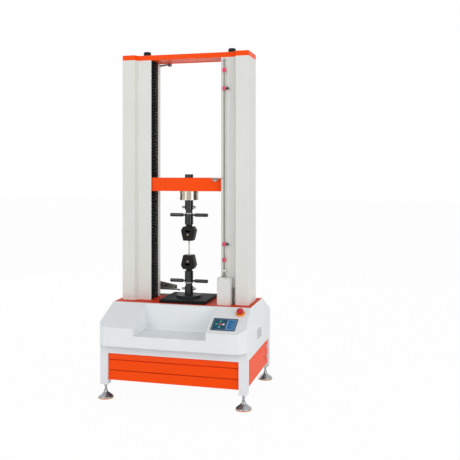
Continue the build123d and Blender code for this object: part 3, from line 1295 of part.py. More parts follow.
def save_columns():
    """The columns, screws, bellows and what ties their heads."""
    cover = column_cover()
    save("right_column_cover", *cover)
    save("left_column_cover", *[other_side(piece) for piece in cover])
    save("guide_columns", *guide_columns())
    save("right_screw", *[Pos(SCREW_X, 0, 0) * piece for piece in lead_screw()])
    save("left_screw", *[Pos(-SCREW_X, 0, 0) * piece for piece in lead_screw()])
    save("screw_bearings", *screw_bearings())
    save("top_beam", top_beam())
    save("cap", cap())
    save("screw_caps", *screw_caps())
    upper = bellows(CROSSHEAD_TOP + SEAT, TOP_BEAM_LOW - SEAT)
    lower = bellows(TABLE_Z + SEAT, CROSSHEAD_LOW - SEAT)
    save("upper_bellows", upper, other_side(upper))
    save("lower_bellows", lower, other_side(lower))


def save_load_train():
    """The crosshead and everything on the load axis."""
    save("crosshead_beam", crosshead_beam())
    save("crosshead_bearings", *crosshead_bearings())
    save("striker_bracket", striker())
    save("load_cell", load_cell())
    save("upper_connector", hanger_bolt(), *upper_connector())
    save("lower_connector", *lower_connector())
    save("platen", platen())
    save("specimen", specimen())
    up = Pos(0, 0, UPPER_MOUTH)
    down = Pos(0, 0, LOWER_MOUTH) * Rot(180, 0, 0)
    places = {"upper": (up, UPPER_SLEEVE_LENGTH), "lower": (down, LOWER_SLEEVE_LENGTH)}
    for name, (place, length) in places.items():
        neck_top = GRIP_BODY_LENGTH + NECK_LENGTH
        pin_at = neck_top + length + LOCK_RING_LENGTH + PIN_FROM_CONNECTOR_END
        save(name + "_grip_body", place * grip_body(length))
        save(name + "_sleeve", place * Pos(0, 0, neck_top) * sleeve(length))
        save(name + "_right_jaw", place * jaw())
        save(name + "_left_jaw", place * other_side(jaw()))
        save(name + "_pin", place * Pos(0, 0, pin_at) * pull_pin())


def save_instruments():
    """The limit gear and the extensometer."""
    save("limit_switch", *limit_switch())
    save("limit_rod", *limit_rod())
    save("limit_cable", limit_cable())
    save("upper_stop", rod_stop(COLUMN_TOP - UPPER_STOP_DROP))
    save("lower_stop", rod_stop(TABLE_Z + LOWER_STOP_RISE))
    save("extensometer_post", *extensometer_post())
    low = TABLE_Z + POST_FOOT_THICK + POST_BOSS_HEIGHT + SEAT
    high = low + ARM_BLOCK_HEIGHT
    save("lower_arm", extensometer_arm(low, high, ARM_TIP_HEIGHT, ARM_LOWER_REACH))
    low = high + SEAT
    high = low + ARM_UPPER_BLOCK_HEIGHT
    save("upper_arm", extensometer_arm(low, high, ARM_UPPER_TIP_HEIGHT, ARM_REACH))


os.makedirs("parts", exist_ok=True)
save_base()
save_columns()
save_load_train()
save_instruments()
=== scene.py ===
# %% [markdown]
# # Dressing a universal testing machine
# The machine pulls a strip of rubber until it breaks. Two columns hide a pair of
# lead screws, and the screws lift an orange beam, the crosshead. This lesson puts
# paint, steel, rubber and printed film on a finished frame, and adds the pleated
# bellows, the grip windows, the reader and the screws that the frame leaves out.

# %% Load the frame
import math

import bmesh
import bpy
from mathutils import Matrix, Vector


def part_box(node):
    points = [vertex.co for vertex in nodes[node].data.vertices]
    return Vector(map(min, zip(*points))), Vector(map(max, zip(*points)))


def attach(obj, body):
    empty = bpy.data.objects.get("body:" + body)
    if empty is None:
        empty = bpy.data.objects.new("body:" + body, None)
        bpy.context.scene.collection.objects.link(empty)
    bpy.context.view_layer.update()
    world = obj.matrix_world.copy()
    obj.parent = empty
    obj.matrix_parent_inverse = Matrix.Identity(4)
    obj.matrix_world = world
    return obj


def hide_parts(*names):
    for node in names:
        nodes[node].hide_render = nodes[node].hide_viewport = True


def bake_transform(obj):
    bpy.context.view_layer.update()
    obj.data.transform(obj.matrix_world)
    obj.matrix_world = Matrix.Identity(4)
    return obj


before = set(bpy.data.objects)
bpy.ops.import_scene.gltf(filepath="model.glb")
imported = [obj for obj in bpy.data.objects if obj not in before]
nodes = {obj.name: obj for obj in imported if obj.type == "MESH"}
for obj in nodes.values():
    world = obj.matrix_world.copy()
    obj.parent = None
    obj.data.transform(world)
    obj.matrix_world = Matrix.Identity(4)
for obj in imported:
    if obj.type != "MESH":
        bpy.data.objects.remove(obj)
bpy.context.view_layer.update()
print("nodes in the frame:", len(nodes))

# %% [markdown]
# ## The camera
# The picture was taken from the right of the machine at chest height, with the
# camera level. A level camera keeps the columns upright, so the view is moved up
# and down with the lens shift, as an architect's camera does. The place and the
# focal length were worked out from the machine's known corners.

# %% Camera
IMAGE_SIZE = 460
FOCAL_PIXELS = 705.706
CENTRE_PIXEL = (221.79, 172.086)
SENSOR = 36.0
CAMERA_PLACE = (1.38391, -4.360083, 1.395485)
CAMERA_TURN = 0.261

camera_data = bpy.data.cameras.new("studio_camera")
camera = bpy.data.objects.new("studio_camera", camera_data)
bpy.context.scene.collection.objects.link(camera)
camera.location = CAMERA_PLACE
camera.rotation_euler = (math.radians(90), 0, CAMERA_TURN)
camera_data.sensor_width = SENSOR
camera_data.lens = FOCAL_PIXELS / IMAGE_SIZE * SENSOR
camera_data.shift_x = 0.5 - CENTRE_PIXEL[0] / IMAGE_SIZE
camera_data.shift_y = CENTRE_PIXEL[1] / IMAGE_SIZE - 0.5
bpy.context.scene.camera = camera
print("focal length in millimetres:", round(camera_data.lens, 2))

# %% [markdown]
# ## The switch cable
# A short round cable leaves the switch box through an elbow and goes down into the
# table. It is a stiff little lead, held at both ends, with one lazy wave between
# them. It could be a bent tube, but a NURBS curve with a round bevel gives a smooth
# wave from a few points, and its sheath gets its rubber further down. Blender takes
# a curve's box from the radius at its points, so the points carry the real radius
# and the bevel depth is one.

# %% Cable
CABLE_DIAMETER = 0.005
CABLE_POINTS = [
    (0.3185, -0.088, 0.661), (0.3185, -0.088, 0.645), (0.3215, -0.089, 0.628), (0.3165, -0.0896, 0.610),
    (0.3155, -0.088, 0.596), (0.3185, -0.088, 0.582), (0.3185, -0.088, 0.562),
]
cable_line = bpy.data.curves.new("switch_cable", "CURVE")
cable_line.dimensions = "3D"
spline = cable_line.splines.new("NURBS")
spline.points.add(len(CABLE_POINTS) - 1)
for point, place in zip(spline.points, CABLE_POINTS):
    point.co = (*place, 1)
    point.radius = CABLE_DIAMETER / 2
spline.order_u = 3
spline.use_endpoint_u = True
cable_line.bevel_depth = 1.0
cable_line.bevel_resolution = 4
cable_line.use_fill_caps = True
cable = bpy.data.objects.new("switch_cable", cable_line)
bpy.context.scene.collection.objects.link(cable)
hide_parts("limit_cable")
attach(cable, "frame")
print("cable points:", len(CABLE_POINTS))

# %% [markdown]
# ## Colours and nodes
# Paint colours are written as the hex values a screen shows. A shader works on
# linear light, so one function turns them. A second small function adds a shader
# node with its settings and its links, so that each material reads as a recipe.

# %% Helpers for materials
NOISE_DETAIL = 3.0
NOISE_RANGE = (0.25, 0.75)


def linear(colour):
    """A hex colour as the linear values that a shader needs."""
    values = []
    for start in (0, 2, 4):
        share = int(colour[start:start + 2], 16) / 255
        values.append(share / 12.92 if share <= 0.04045 else ((share + 0.055) / 1.055) ** 2.4)
    return (*values, 1.0)


def add(tree, kind, sockets=None, **settings):
    """Adds a node. A socket gets a value, or a link where the value is a socket."""
    node = tree.nodes.new(kind)
    for name, value in settings.items():
        setattr(node, name, value)
    for name, value in (sockets or {}).items():
        if isinstance(value, bpy.types.NodeSocket):
            tree.links.new(value, node.inputs[name])
        else:
            node.inputs[name].default_value = value
    return node


def dress(material, *names):
    """Gives a material to CAD nodes."""
    for name in names:
        for slot in nodes[name].material_slots:
            slot.material = material
    print(material.name, "on", len(names))


def blotches(tree, size_mm, low, high, stretch=(1, 1, 1)):
    """A soft value pattern between low and high, whose spots are about size_mm wide.

    Nearly all of the noise lies inside NOISE_RANGE, so that range is spread out.
    """
    place = add(tree, "ShaderNodeTexCoord")
    space = add(tree, "ShaderNodeMapping", {"Vector": place.outputs["Object"], "Scale": stretch})
    noise = add(tree, "ShaderNodeTexNoise", {
        "Vector": space.outputs["Vector"], "Scale": 1000 / size_mm, "Detail": NOISE_DETAIL,
    })
    spread = add(tree, "ShaderNodeMapRange", {
        "Value": noise.outputs["Fac"], "From Min": NOISE_RANGE[0], "From Max": NOISE_RANGE[1],
        "To Min": low, "To Max": high,
    })
    return spread.outputs["Result"]


# %% [markdown]
# ## One recipe for every surface
# No real surface is one flat colour. Its colour drifts a little over centimetres,
# its gloss changes where hands and oil have been, and it has a grain that the light
# catches. Each of the three is a noise pattern with a size in millimetres, so one
# recipe makes paint, steel and plastic alike, told apart by their numbers.

# %% The recipe
RELIEF_STRENGTH = 0.4


def surface(name, colour, roughness, grain, metallic=0.0, shine=0.5, drift=(30, 0.05), gloss=(12, 0.04),
            stretch=(1, 1, 1)):
    """A material with an uneven colour and gloss and a fine grain.

    grain is the width and depth of the relief in millimetres. drift is the width of
    the colour's spots and how much lighter or darker they are, and gloss is the same
    for the roughness. stretch draws the grain out, as for marks round a shaft.
    """
    material = bpy.data.materials.new(name)
    material.use_nodes = True
    tree = material.node_tree
    shader = tree.nodes["Principled BSDF"]
    shader.inputs["Metallic"].default_value = metallic
    shader.inputs["Specular IOR Level"].default_value = shine
    shade = add(tree, "ShaderNodeHueSaturation", {
        "Color": linear(colour), "Value": blotches(tree, drift[0], 1 - drift[1], 1 + drift[1]),
    })
    tree.links.new(shade.outputs["Color"], shader.inputs["Base Color"])
    tree.links.new(blotches(tree, gloss[0], roughness - gloss[1], roughness + gloss[1]), shader.inputs["Roughness"])
    bump = add(tree, "ShaderNodeBump", {
        "Height": blotches(tree, grain[0], 0, 1, stretch), "Distance": grain[1] / 1000,
        "Strength": RELIEF_STRENGTH,
    })
    tree.links.new(bump.outputs["Normal"], shader.inputs["Normal"])
    return material


# %% [markdown]
# ## Powder coat
# The covers, the columns and the orange pieces are folded steel sheet with powder
# coat. The powder melts into a thick plastic skin with a faint orange peel, waves a
# millimetre or two across, which blurs what it mirrors. The peel is drawn at 3 mm,
# coarser than life, or it would not show. The orange hides its gloss more than the
# white does, because its pigment is so strong.

# %% Powder coat
PEEL = (3.0, 0.03)
WIDE_DRIFT = (260, 0.015)
WIDE_GLOSS = (40, 0.035)
WHITE_COAT = {"shine": 0.4, "drift": WIDE_DRIFT, "gloss": WIDE_GLOSS}
ORANGE_COAT = {"shine": 0.1, "drift": WIDE_DRIFT, "gloss": WIDE_GLOSS}
ORANGE = "FF4E00"

column_coat = surface("warm_white_powder_coat", "E0E1DC", 0.42, PEEL, **WHITE_COAT)
cover_coat = surface("cool_white_powder_coat", "EBEFF1", 0.4, PEEL, **WHITE_COAT)
leg_coat = surface("pale_grey_powder_coat", "E8ECEF", 0.4, PEEL, **WHITE_COAT)
orange_coat = surface("orange_powder_coat", ORANGE, 0.36, PEEL, **ORANGE_COAT)
# The table top's coat is the orange made redder and darker. The darkness is painted shade, for the shade that falls
# on the table under the columns, crosshead and platen.
table_coat_with_painted_shade = surface("orange_powder_coat_with_painted_shade", "DC3600", 0.5, PEEL, **ORANGE_COAT)
louvre_coat_with_painted_shade = surface("orange_coat_with_painted_lap_shade", ORANGE, 0.36, PEEL, **ORANGE_COAT)
primer = surface("grey_primer", "55585A", 0.6, PEEL, drift=WIDE_DRIFT)
dress(column_coat, "left_column_cover", "right_column_cover")
dress(cover_coat, "fascia", "side_covers")
dress(leg_coat, "base_frame")
dress(orange_coat, "cap", "crosshead_beam", "top_beam")
dress(table_coat_with_painted_shade, "table_top")
dress(primer, "lower_beam")

# %% [markdown]
# ## Steels
# Steel finishes are told apart by how they were made. Ground shafts carry fine
# rings round their axis, so their grain is drawn out square to Z. The load cell is
# turned stainless steel, warm and bright. Plated pins and brackets are duller.
# Black oxide is a thin black conversion of the steel itself: turned pieces stay
# smooth and catch a bright line, and milled or sandblasted ones are nearly matt.
# Tool marks are about 0.1 mm apart in life. They are drawn at 0.5 to 1.2 mm, coarser
# than life, or they would not show.

# %% Steel finishes
RINGS = (0.02, 0.02, 1)
TURNED_MARKS = (0.7, 0.01)
PLATED = "8C8C84"
OXIDE_BLACK = "15171A"
TURNED_OXIDE = {"metallic": 0.3, "shine": 0.7, "drift": (18, 0.2), "gloss": (9, 0.03), "stretch": RINGS}

ground_steel = surface("ground_steel", "85888A", 0.32, (0.6, 0.01), metallic=1.0, stretch=RINGS)
plated_steel = surface("zinc_plated_steel", PLATED, 0.3, (0.5, 0.005), metallic=1.0)
stainless = surface("turned_stainless_steel", "B9B2A4", 0.26, (0.8, 0.008), metallic=1.0, stretch=RINGS)
turned_black = surface("turned_black_oxide", OXIDE_BLACK, 0.22, TURNED_MARKS, **TURNED_OXIDE)
blasted_black = surface("blasted_black_oxide", "141412", 0.55, (1.2, 0.03), metallic=0.3, shine=0.3, drift=(9, 0.3))
platen_black = surface("milled_black_oxide", "111716", 0.6, (1.0, 0.02), metallic=0.2, shine=0.15, drift=(30, 0.25))
dress(ground_steel, "guide_columns", "left_screw", "right_screw", "screw_bearings",
      "upper_left_jaw", "upper_right_jaw", "lower_left_jaw", "lower_right_jaw")
dress(plated_steel, "upper_pin", "lower_pin", "striker_bracket")
dress(stainless, "load_cell")
dress(turned_black, "upper_sleeve", "lower_sleeve")
dress(platen_black, "platen")

# %% [markdown]
# ## A second finish on one piece
# Some pieces carry two finishes: the connectors are black with a polished lock
# ring, and the limit rod is steel with red collars. They could be cut in two, but a
# box in Object coordinates marks the place just as well. Object coordinates are
# metres in the machine's own frame, so the box is read straight off the drawing.

# %% A marked box
def inside_box(tree, low, high, place=None):
    """A mask that is one inside a box given by its two corners, and zero outside."""
    if place is None:
        place = add(tree, "ShaderNodeTexCoord").outputs["Object"]
    split = add(tree, "ShaderNodeSeparateXYZ", {"Vector": place})
    mask = None
    for axis, floor, ceiling in zip("XYZ", low, high):
        for limit, test in ((floor, "GREATER_THAN"), (ceiling, "LESS_THAN")):
            if limit is None:
                continue
            side = add(tree, "ShaderNodeMath", {0: split.outputs[axis], 1: limit}, operation=test).outputs[0]
            if mask is not None:
                side = add(tree, "ShaderNodeMath", {0: mask, 1: side}, operation="MULTIPLY").outputs[0]
            mask = side
    return mask


def between(low, high):
    """A box that takes in everything between two heights."""
    return (None, None, low), (None, None, high)


# %% A finish laid over the mark
def lay_over(material, mask, colour, metallic=None, roughness=None):
    """Lays another colour, and if given another metal and gloss, where the mask is one."""
    tree = material.node_tree
    shader = tree.nodes["Principled BSDF"]
    under = shader.inputs["Base Color"].links[0].from_socket
    mixed = add(tree, "ShaderNodeMix", {"Factor": mask, 6: under, 7: linear(colour)}, data_type="RGBA")
    tree.links.new(mixed.outputs[2], shader.inputs["Base Color"])
    if metallic is not None and metallic != shader.inputs["Metallic"].default_value:
        metal = add(tree, "ShaderNodeMapRange", {
            "Value": mask, "To Min": shader.inputs["Metallic"].default_value, "To Max": metallic,
        })
        tree.links.new(metal.outputs["Result"], shader.inputs["Metallic"])
    if roughness is not None:
        rough = add(tree, "ShaderNodeMix", {
            "Factor": mask, 2: shader.inputs["Roughness"].links[0].from_socket, 3: roughness,
        }, data_type="FLOAT")
        tree.links.new(rough.outputs[0], shader.inputs["Roughness"])


def marked(material, boxes, colour, metallic, roughness):
    """Lays another finish inside some boxes."""
    for low, high in boxes:
        lay_over(material, inside_box(material.node_tree, low, high), colour, metallic, roughness)


# %% Grips and limit gear with two finishes
CAST_GRAIN = (1.6, 0.05)
FINE_GRAIN = (0.7, 0.015)
EVEN = (20, 0.04)
SIGNAL_RED = "D6405E"
KNOB_BLACK = "141414"
LOCK_RINGS = [between(1.1249, 1.1321), between(0.6784, 0.6856)]
FLANGE_TOP = 0.6045
ROD_COLLARS = [between(2.0229, 2.0471), between(0.8339, 0.8581)]
ROD_CLAMP = [between(0.7744, 0.7836)]
STOP_KNOB_LEFT = 0.2695

ringed_black = surface("black_oxide_with_bright_ring", OXIDE_BLACK, 0.22, TURNED_MARKS, **TURNED_OXIDE)
marked(ringed_black, LOCK_RINGS, "A6A9AC", metallic=1.0, roughness=0.28)
marked(ringed_black, [between(None, FLANGE_TOP)], "121416", metallic=0.3, roughness=0.5)
dress(ringed_black, "upper_connector", "lower_connector")
collared_rod = surface("plated_rod_with_red_collars", "78786C", 0.32, FINE_GRAIN, metallic=1.0, drift=EVEN)
marked(collared_rod, ROD_COLLARS, SIGNAL_RED, metallic=0.0, roughness=0.35)
# The clamp is bright plated steel, and its colour is lightened further as a painted highlight.
marked(collared_rod, ROD_CLAMP, "D8D8D0", metallic=1.0, roughness=0.3)
dress(collared_rod, "limit_rod")
red_stop = surface("red_nylon_with_black_knob", SIGNAL_RED, 0.35, FINE_GRAIN, drift=EVEN)
marked(red_stop, [((STOP_KNOB_LEFT, None, None), (None, None, None))], KNOB_BLACK, metallic=0.0, roughness=0.35)
dress(red_stop, "upper_stop", "lower_stop")

# %% Arms, boxes and feet with two finishes
ARM_KNOB_LEFT = -0.2
ARM_KNOB_BACK = 0.1338
SWITCH_LID_TOP = 0.7382
SWITCH_BOX_RIGHT = 0.3087
SWITCH_GEAR_TOP = 0.8
INLET = ((0.2762, 0.37, 0.3989), (0.3238, None, 0.4285))
FOOT_RUBBER_TOP = 0.007
DRIVE_BOX_LEFT = 0.17

arm_finish = surface("cast_arm_with_black_knob", "7F8480", 0.45, CAST_GRAIN, metallic=0.7, drift=EVEN)
marked(arm_finish, [((ARM_KNOB_LEFT, None, None), (None, ARM_KNOB_BACK, None))], KNOB_BLACK,
       metallic=0.0, roughness=0.35)
dress(arm_finish, "lower_arm", "upper_arm")
box_finish = surface("switch_box_paint_and_steel", "E0E1DE", 0.4, PEEL, shine=0.4, drift=EVEN)
marked(box_finish, [
    between(SWITCH_LID_TOP, SWITCH_GEAR_TOP), ((SWITCH_BOX_RIGHT, None, None), (None, None, SWITCH_GEAR_TOP)),
], PLATED, metallic=1.0, roughness=0.34)
dress(box_finish, "limit_switch")
rear_finish = surface("rear_paint_with_black_inlet", "E7ECEE", 0.4, PEEL, shine=0.4, drift=EVEN)
marked(rear_finish, [INLET], KNOB_BLACK, metallic=0.0, roughness=0.35)
dress(rear_finish, "rear_cover")
foot_finish = surface("turned_foot_on_tan_rubber", "A4A6A8", 0.2, (0.8, 0.006), metallic=1.0, drift=EVEN,
                      stretch=RINGS)
marked(foot_finish, [between(None, FOOT_RUBBER_TOP)], "E0A070", metallic=0.0, roughness=0.6)
dress(foot_finish, "front_left_foot", "front_right_foot", "rear_left_foot", "rear_right_foot")
drive_finish = surface("charcoal_motor_and_bare_drive_box", "2A2C2E", 0.5, CAST_GRAIN, drift=EVEN)
marked(drive_finish, [((DRIVE_BOX_LEFT, None, None), (None, None, None))], "9A9C9E", metallic=1.0, roughness=0.4)
dress(drive_finish, "drive_unit")

# %% [markdown]
# ## The laps of the louvres
# The orange panels between the legs are sheet folded into three lapped bands. Under
# each lap a darker line is painted along the fold, as painted shade for the shadow
# that falls below the lip. The line is a box under each fold, at the fold's height.

# %% Louvre laps
LAP_SHARES = (0.225, 0.615)
LAP_SHADE = 0.009
panel_low, panel_high = (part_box("louvre_panels")[end].z for end in (0, 1))
laps = [panel_high - (panel_high - panel_low) * share for share in LAP_SHARES]
# A darker orange band under each fold: painted shade for the shadow below the lip.
marked(louvre_coat_with_painted_shade, [between(lap - LAP_SHADE, lap) for lap in laps], "CE3B06", metallic=0.0, roughness=0.6)
dress(louvre_coat_with_painted_shade, "louvre_panels")
print("laps at", [round(lap, 4) for lap in laps])

# %% [markdown]
# ## Cast aluminium, bronze, rubber and plastic
# What is left is small. The pulleys are cast aluminium, the nuts and bushes are
# bronze, the belt and the strip are rubber, and the caps and buttons are moulded
# plastic. Plastic is told from paint by its even, slightly wet gloss. Cast metal has
# a grain of a millimetre or two and keeps it here. The grain of moulded and plated
# pieces, at 0.7 mm, is coarser than life, or it would not show.

# %% Small finishes
dress(surface("moulded_black_plastic", "0B0B0B", 0.35, FINE_GRAIN, shine=0.2), "screw_caps")
dress(surface("cast_aluminium", "8F9492", 0.45, CAST_GRAIN, metallic=0.7), "motor_pulley", "extensometer_post")
dress(surface("machined_bronze", "B08A4A", 0.35, FINE_GRAIN, metallic=1.0), "crosshead_bearings")
dress(surface("moulded_belt_rubber", "1A1A1A", 0.7, FINE_GRAIN), "drive_belt")
dress(surface("moulded_red_plastic", "C8102A", 0.22, FINE_GRAIN), "e_stop_button")
dress(surface("moulded_orange_plastic", "F08A24", 0.3, FINE_GRAIN), "e_stop_ring")
dress(surface("green_key_film", "2FA88E", 0.35, FINE_GRAIN), "up_key", "left_key")
dress(surface("teal_key_film", "4FB4B4", 0.35, FINE_GRAIN), "down_key")
dress(surface("red_key_film", "C65A60", 0.35, FINE_GRAIN), "stop_key")
dress(surface("white_key_film", "E9E2E0", 0.35, FINE_GRAIN), "right_key")
cable_line.materials.append(surface("extruded_cable_rubber", "161617", 0.5, FINE_GRAIN))

# %% [markdown]
# ## The printed panel
# The key panel is one sheet of polyester film, printed from behind and glued to the
# slope. Only its print changes from place to place, so the whole sheet stays one
# piece with one gloss, and boxes in the sheet's own plane choose the ink. The
# Mapping node, set to Texture, turns the machine's coordinates into the sheet's.
# The faint texture of the film is drawn at 1.5 mm, coarser than life.

# %% Inks on the panel film
PANEL_CENTRE = (0.3215, -0.3255, 0.49332)
SLOPE_RISE_MM = 117
SLOPE_RUN_MM = 222
PANEL_SLOPE = math.atan2(SLOPE_RISE_MM, SLOPE_RUN_MM)
DASH_MM = 7.0
DASH_SHARE = 0.3
FRAME_EDGE = (0.0685, 0.0475)
FRAME_LINE = 0.0016
LABEL_BLUE = "1B5A90"
PANEL_INKS = [
    ("12506A", (-0.067, -0.046), (0.009, 0.046)),
    ("3C7FB5", (0.012, -0.046), (0.067, 0.046)),
    ("8FB0C8", (0.0155, -0.034), (0.0195, 0.034)),
    (LABEL_BLUE, (0.0235, 0.020), (0.046, 0.031)),
    (LABEL_BLUE, (0.0235, -0.0055), (0.041, 0.0055)),
    (LABEL_BLUE, (0.0235, -0.031), (0.046, -0.020)),
]

film = surface("printed_polyester_film", "34495A", 0.3, (1.5, 0.01), shine=0.3, drift=(25, 0.04), gloss=(8, 0.04))
tree = film.node_tree
spot = add(tree, "ShaderNodeTexCoord")
sheet = add(tree, "ShaderNodeMapping", {
    "Vector": spot.outputs["Object"], "Location": PANEL_CENTRE, "Rotation": (PANEL_SLOPE, 0, 0),
}, vector_type="TEXTURE").outputs["Vector"]
for colour, low, high in PANEL_INKS:
    lay_over(film, inside_box(tree, (*low, None), (*high, None), sheet), colour)

# %% The dashed frame line of the film
outer, inner = (
    inside_box(tree, (-x, -y, None), (x, y, None), sheet)
    for x, y in (FRAME_EDGE, [edge - FRAME_LINE for edge in FRAME_EDGE])
)
line = add(tree, "ShaderNodeMath", {0: outer, 1: inner}, operation="SUBTRACT").outputs[0]
split = add(tree, "ShaderNodeSeparateXYZ", {"Vector": sheet})
along = add(tree, "ShaderNodeMath", {0: split.outputs["X"], 1: split.outputs["Y"]}, operation="ADD").outputs[0]
count = add(tree, "ShaderNodeMath", {0: along, 1: 1000 / DASH_MM}, operation="MULTIPLY").outputs[0]
step = add(tree, "ShaderNodeMath", {0: count}, operation="FRACT").outputs[0]
dash = add(tree, "ShaderNodeMath", {0: step, 1: DASH_SHARE}, operation="GREATER_THAN").outputs[0]
lay_over(film, add(tree, "ShaderNodeMath", {0: line, 1: dash}, operation="MULTIPLY").outputs[0], "B9CCD6")
dress(film, "control_panel")

# %% [markdown]
# ## Pleated bellows
# Behind each column's slot, black coated cloth keeps dust off the screw. It is
# folded into pleats round a rectangle and opens and closes with the crosshead. One
# outline is extruded upwards again and again, drawn in and let out in turn. That
# gives real folds, which a bump pattern could not show against the light. The weave
# of the cloth is drawn at 0.9 mm, coarser than life, or it would not show.

# %% Bellows sizes and cloth
BELLOWS_X = 0.2854
BELLOWS_Y = -0.0035
BELLOWS_HALF = (0.0485, 0.059)
BELLOWS_CORNER = 0.004
FEWEST_PLEATS = 4
PLEAT_DEPTH = 0.0155
PLEAT_PITCH = 0.02
CLOTH_THICK = 0.0012

bellows_cloth = surface("coated_cloth", "090A0A", 0.6, (0.9, 0.05), shine=0.2, drift=(15, 0.3))


# %% From a bmesh to a piece
def finished(bm, name, material):
    """Turns a bmesh into a flat-shaded object with one material, at the origin."""
    mesh = bpy.data.meshes.new(name)
    bm.to_mesh(mesh)
    bm.free()
    mesh.materials.append(material)
    for polygon in mesh.polygons:
        polygon.use_smooth = False
    piece = bpy.data.objects.new(name, mesh)
    bpy.context.scene.collection.objects.link(piece)
    return piece


# %% One pair of pleated sleeves
def pleated_bellows(name, low, high):
    """Two pleated sleeves, one in each column, between two heights."""
    pleats = max(FEWEST_PLEATS, round((high - low) / PLEAT_PITCH))
    step = (high - low) / (2 * pleats)
    shrink = [(half - PLEAT_DEPTH) / half for half in BELLOWS_HALF]
    grow = [1 / share for share in shrink]
    bm = bmesh.new()
    for side in (-1, 1):
        centre = Vector((side * BELLOWS_X, BELLOWS_Y, low))
        made = bmesh.ops.create_circle(bm, segments=4, radius=math.sqrt(2))
        bmesh.ops.rotate(bm, verts=made["verts"], matrix=Matrix.Rotation(math.radians(45), 3, "Z"))
        bmesh.ops.scale(bm, vec=(*BELLOWS_HALF, 1), verts=made["verts"])
        cut = bmesh.ops.bevel(bm, geom=made["verts"], offset=BELLOWS_CORNER, segments=2, profile=0.5,
                              affect="VERTICES", material=-1)
        bmesh.ops.translate(bm, vec=centre, verts=cut["verts"])
        ring = [edge for edge in bm.edges if all(vert in cut["verts"] for vert in edge.verts)]
        space = Matrix.Translation(-centre)
        for fold in range(2 * pleats):
            raised = bmesh.ops.extrude_edge_only(bm, edges=ring)["geom"]
            ring = [item for item in raised if isinstance(item, bmesh.types.BMEdge)]
            verts = [item for item in raised if isinstance(item, bmesh.types.BMVert)]
            factors = grow if fold % 2 else shrink
            bmesh.ops.scale(bm, vec=(*factors, 1), verts=verts, space=space)
            bmesh.ops.translate(bm, vec=(0, 0, step), verts=verts)
    bmesh.ops.recalc_face_normals(bm, faces=bm.faces)
    piece = finished(bm, name, bellows_cloth)
    wall = piece.modifiers.new("cloth", "SOLIDIFY")
    wall.thickness = CLOTH_THICK
    wall.offset = -1
    print(name, "pleats:", pleats)
    return piece


# %% Upper and lower bellows
upper_low, upper_high = (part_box("upper_bellows")[end].z for end in (0, 1))
lower_low, lower_high = (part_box("lower_bellows")[end].z for end in (0, 1))
upper_pleats = pleated_bellows("upper_pleated_bellows", upper_low, upper_high)
lower_pleats = pleated_bellows("lower_pleated_bellows", lower_low, lower_high)
for piece, node, start, end in (
    (upper_pleats, "upper_bellows", upper_high, upper_low),
    (lower_pleats, "lower_bellows", lower_low, lower_high),
):
    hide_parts(node)
    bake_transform(piece)

# %% [markdown]
# ## The rubber strip
# The specimen is a flat strip of pale rubber, six millimetres thick, with a
# slightly narrower middle so that it breaks there and not in the jaws. It stretches
# with the crosshead, so it needs many rows of vertices along its length.

# %% Specimen
STRIP_ROWS = 48
WAIST_SHARE = 0.72
WAIST_RAMP = 0.2
STRIP_EDGE = 0.0004
CORNER_ANGLE = 1.0

rubber_strip = surface("moulded_pale_rubber", "D4D4D0", 0.5, FINE_GRAIN)
strip_low, strip_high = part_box("specimen")
bm = bmesh.new()
made = bmesh.ops.create_cube(bm, size=1)
size = strip_high - strip_low
bmesh.ops.scale(bm, vec=size, verts=made["verts"])
bmesh.ops.translate(bm, vec=(strip_low + strip_high) / 2, verts=made["verts"])
uprights = [edge for edge in bm.edges if abs(edge.verts[0].co.z - edge.verts[1].co.z) > size.z / 2]
bmesh.ops.subdivide_edges(bm, edges=uprights, cuts=STRIP_ROWS, use_grid_fill=True)
grip_gap = (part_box("lower_grip_body")[1].z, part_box("upper_grip_body")[0].z)
for vert in bm.verts:
    share = (vert.co.z - grip_gap[0]) / (grip_gap[1] - grip_gap[0])
    if 0 < share < 1:
        blend = min(1, min(share, 1 - share) / WAIST_RAMP)
        vert.co.y *= 1 - (1 - WAIST_SHARE) * blend * blend * (3 - 2 * blend)
bmesh.ops.bevel(bm, geom=[edge for edge in bm.edges if len(edge.link_faces) == 2
                          and edge.calc_face_angle() > CORNER_ANGLE], offset=STRIP_EDGE, segments=2,
                profile=0.5, affect="EDGES", material=-1)
strip = finished(bm, "rubber_strip", rubber_strip)
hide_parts("specimen")
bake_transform(strip)

# %% [markdown]
# ## The reader in the upper arm
# The deep upper arm carries the reader of the stretch gauge, a thin closed housing
# that fills the arm's tapering window. It is one outline with four corners, pushed
# out to a plate, with its edges rounded, and a small lens block stands on it.

# %% Reader housing
READER_OUTLINE = [(-0.2545, 0.6212), (-0.1615, 0.6212), (-0.1615, 0.6382), (-0.2545, 0.6548)]
READER_Y = (0.1352, 0.1408)
READER_EDGE = 0.0004
LENS_BOX = ((-0.214, 0.1338, 0.627), (-0.196, 0.1422, 0.638))
LENS_RIM = 0.0012
LENS_EDGE = 0.0003

bm = bmesh.new()
outline = bm.faces.new([bm.verts.new((x, READER_Y[0], z)) for x, z in READER_OUTLINE])
pushed = bmesh.ops.extrude_face_region(bm, geom=[outline])["geom"]
bmesh.ops.translate(bm, vec=(0, READER_Y[1] - READER_Y[0], 0),
                    verts=[item for item in pushed if isinstance(item, bmesh.types.BMVert)])
bmesh.ops.recalc_face_normals(bm, faces=bm.faces)
reader = finished(bm, "reader_housing", surface("grey_anodised_aluminium", "6F7570", 0.4, CAST_GRAIN, metallic=0.5))
rounding = reader.modifiers.new("rounding", "BEVEL")
rounding.width = READER_EDGE
rounding.segments = 2
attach(reader, "upper_arm")

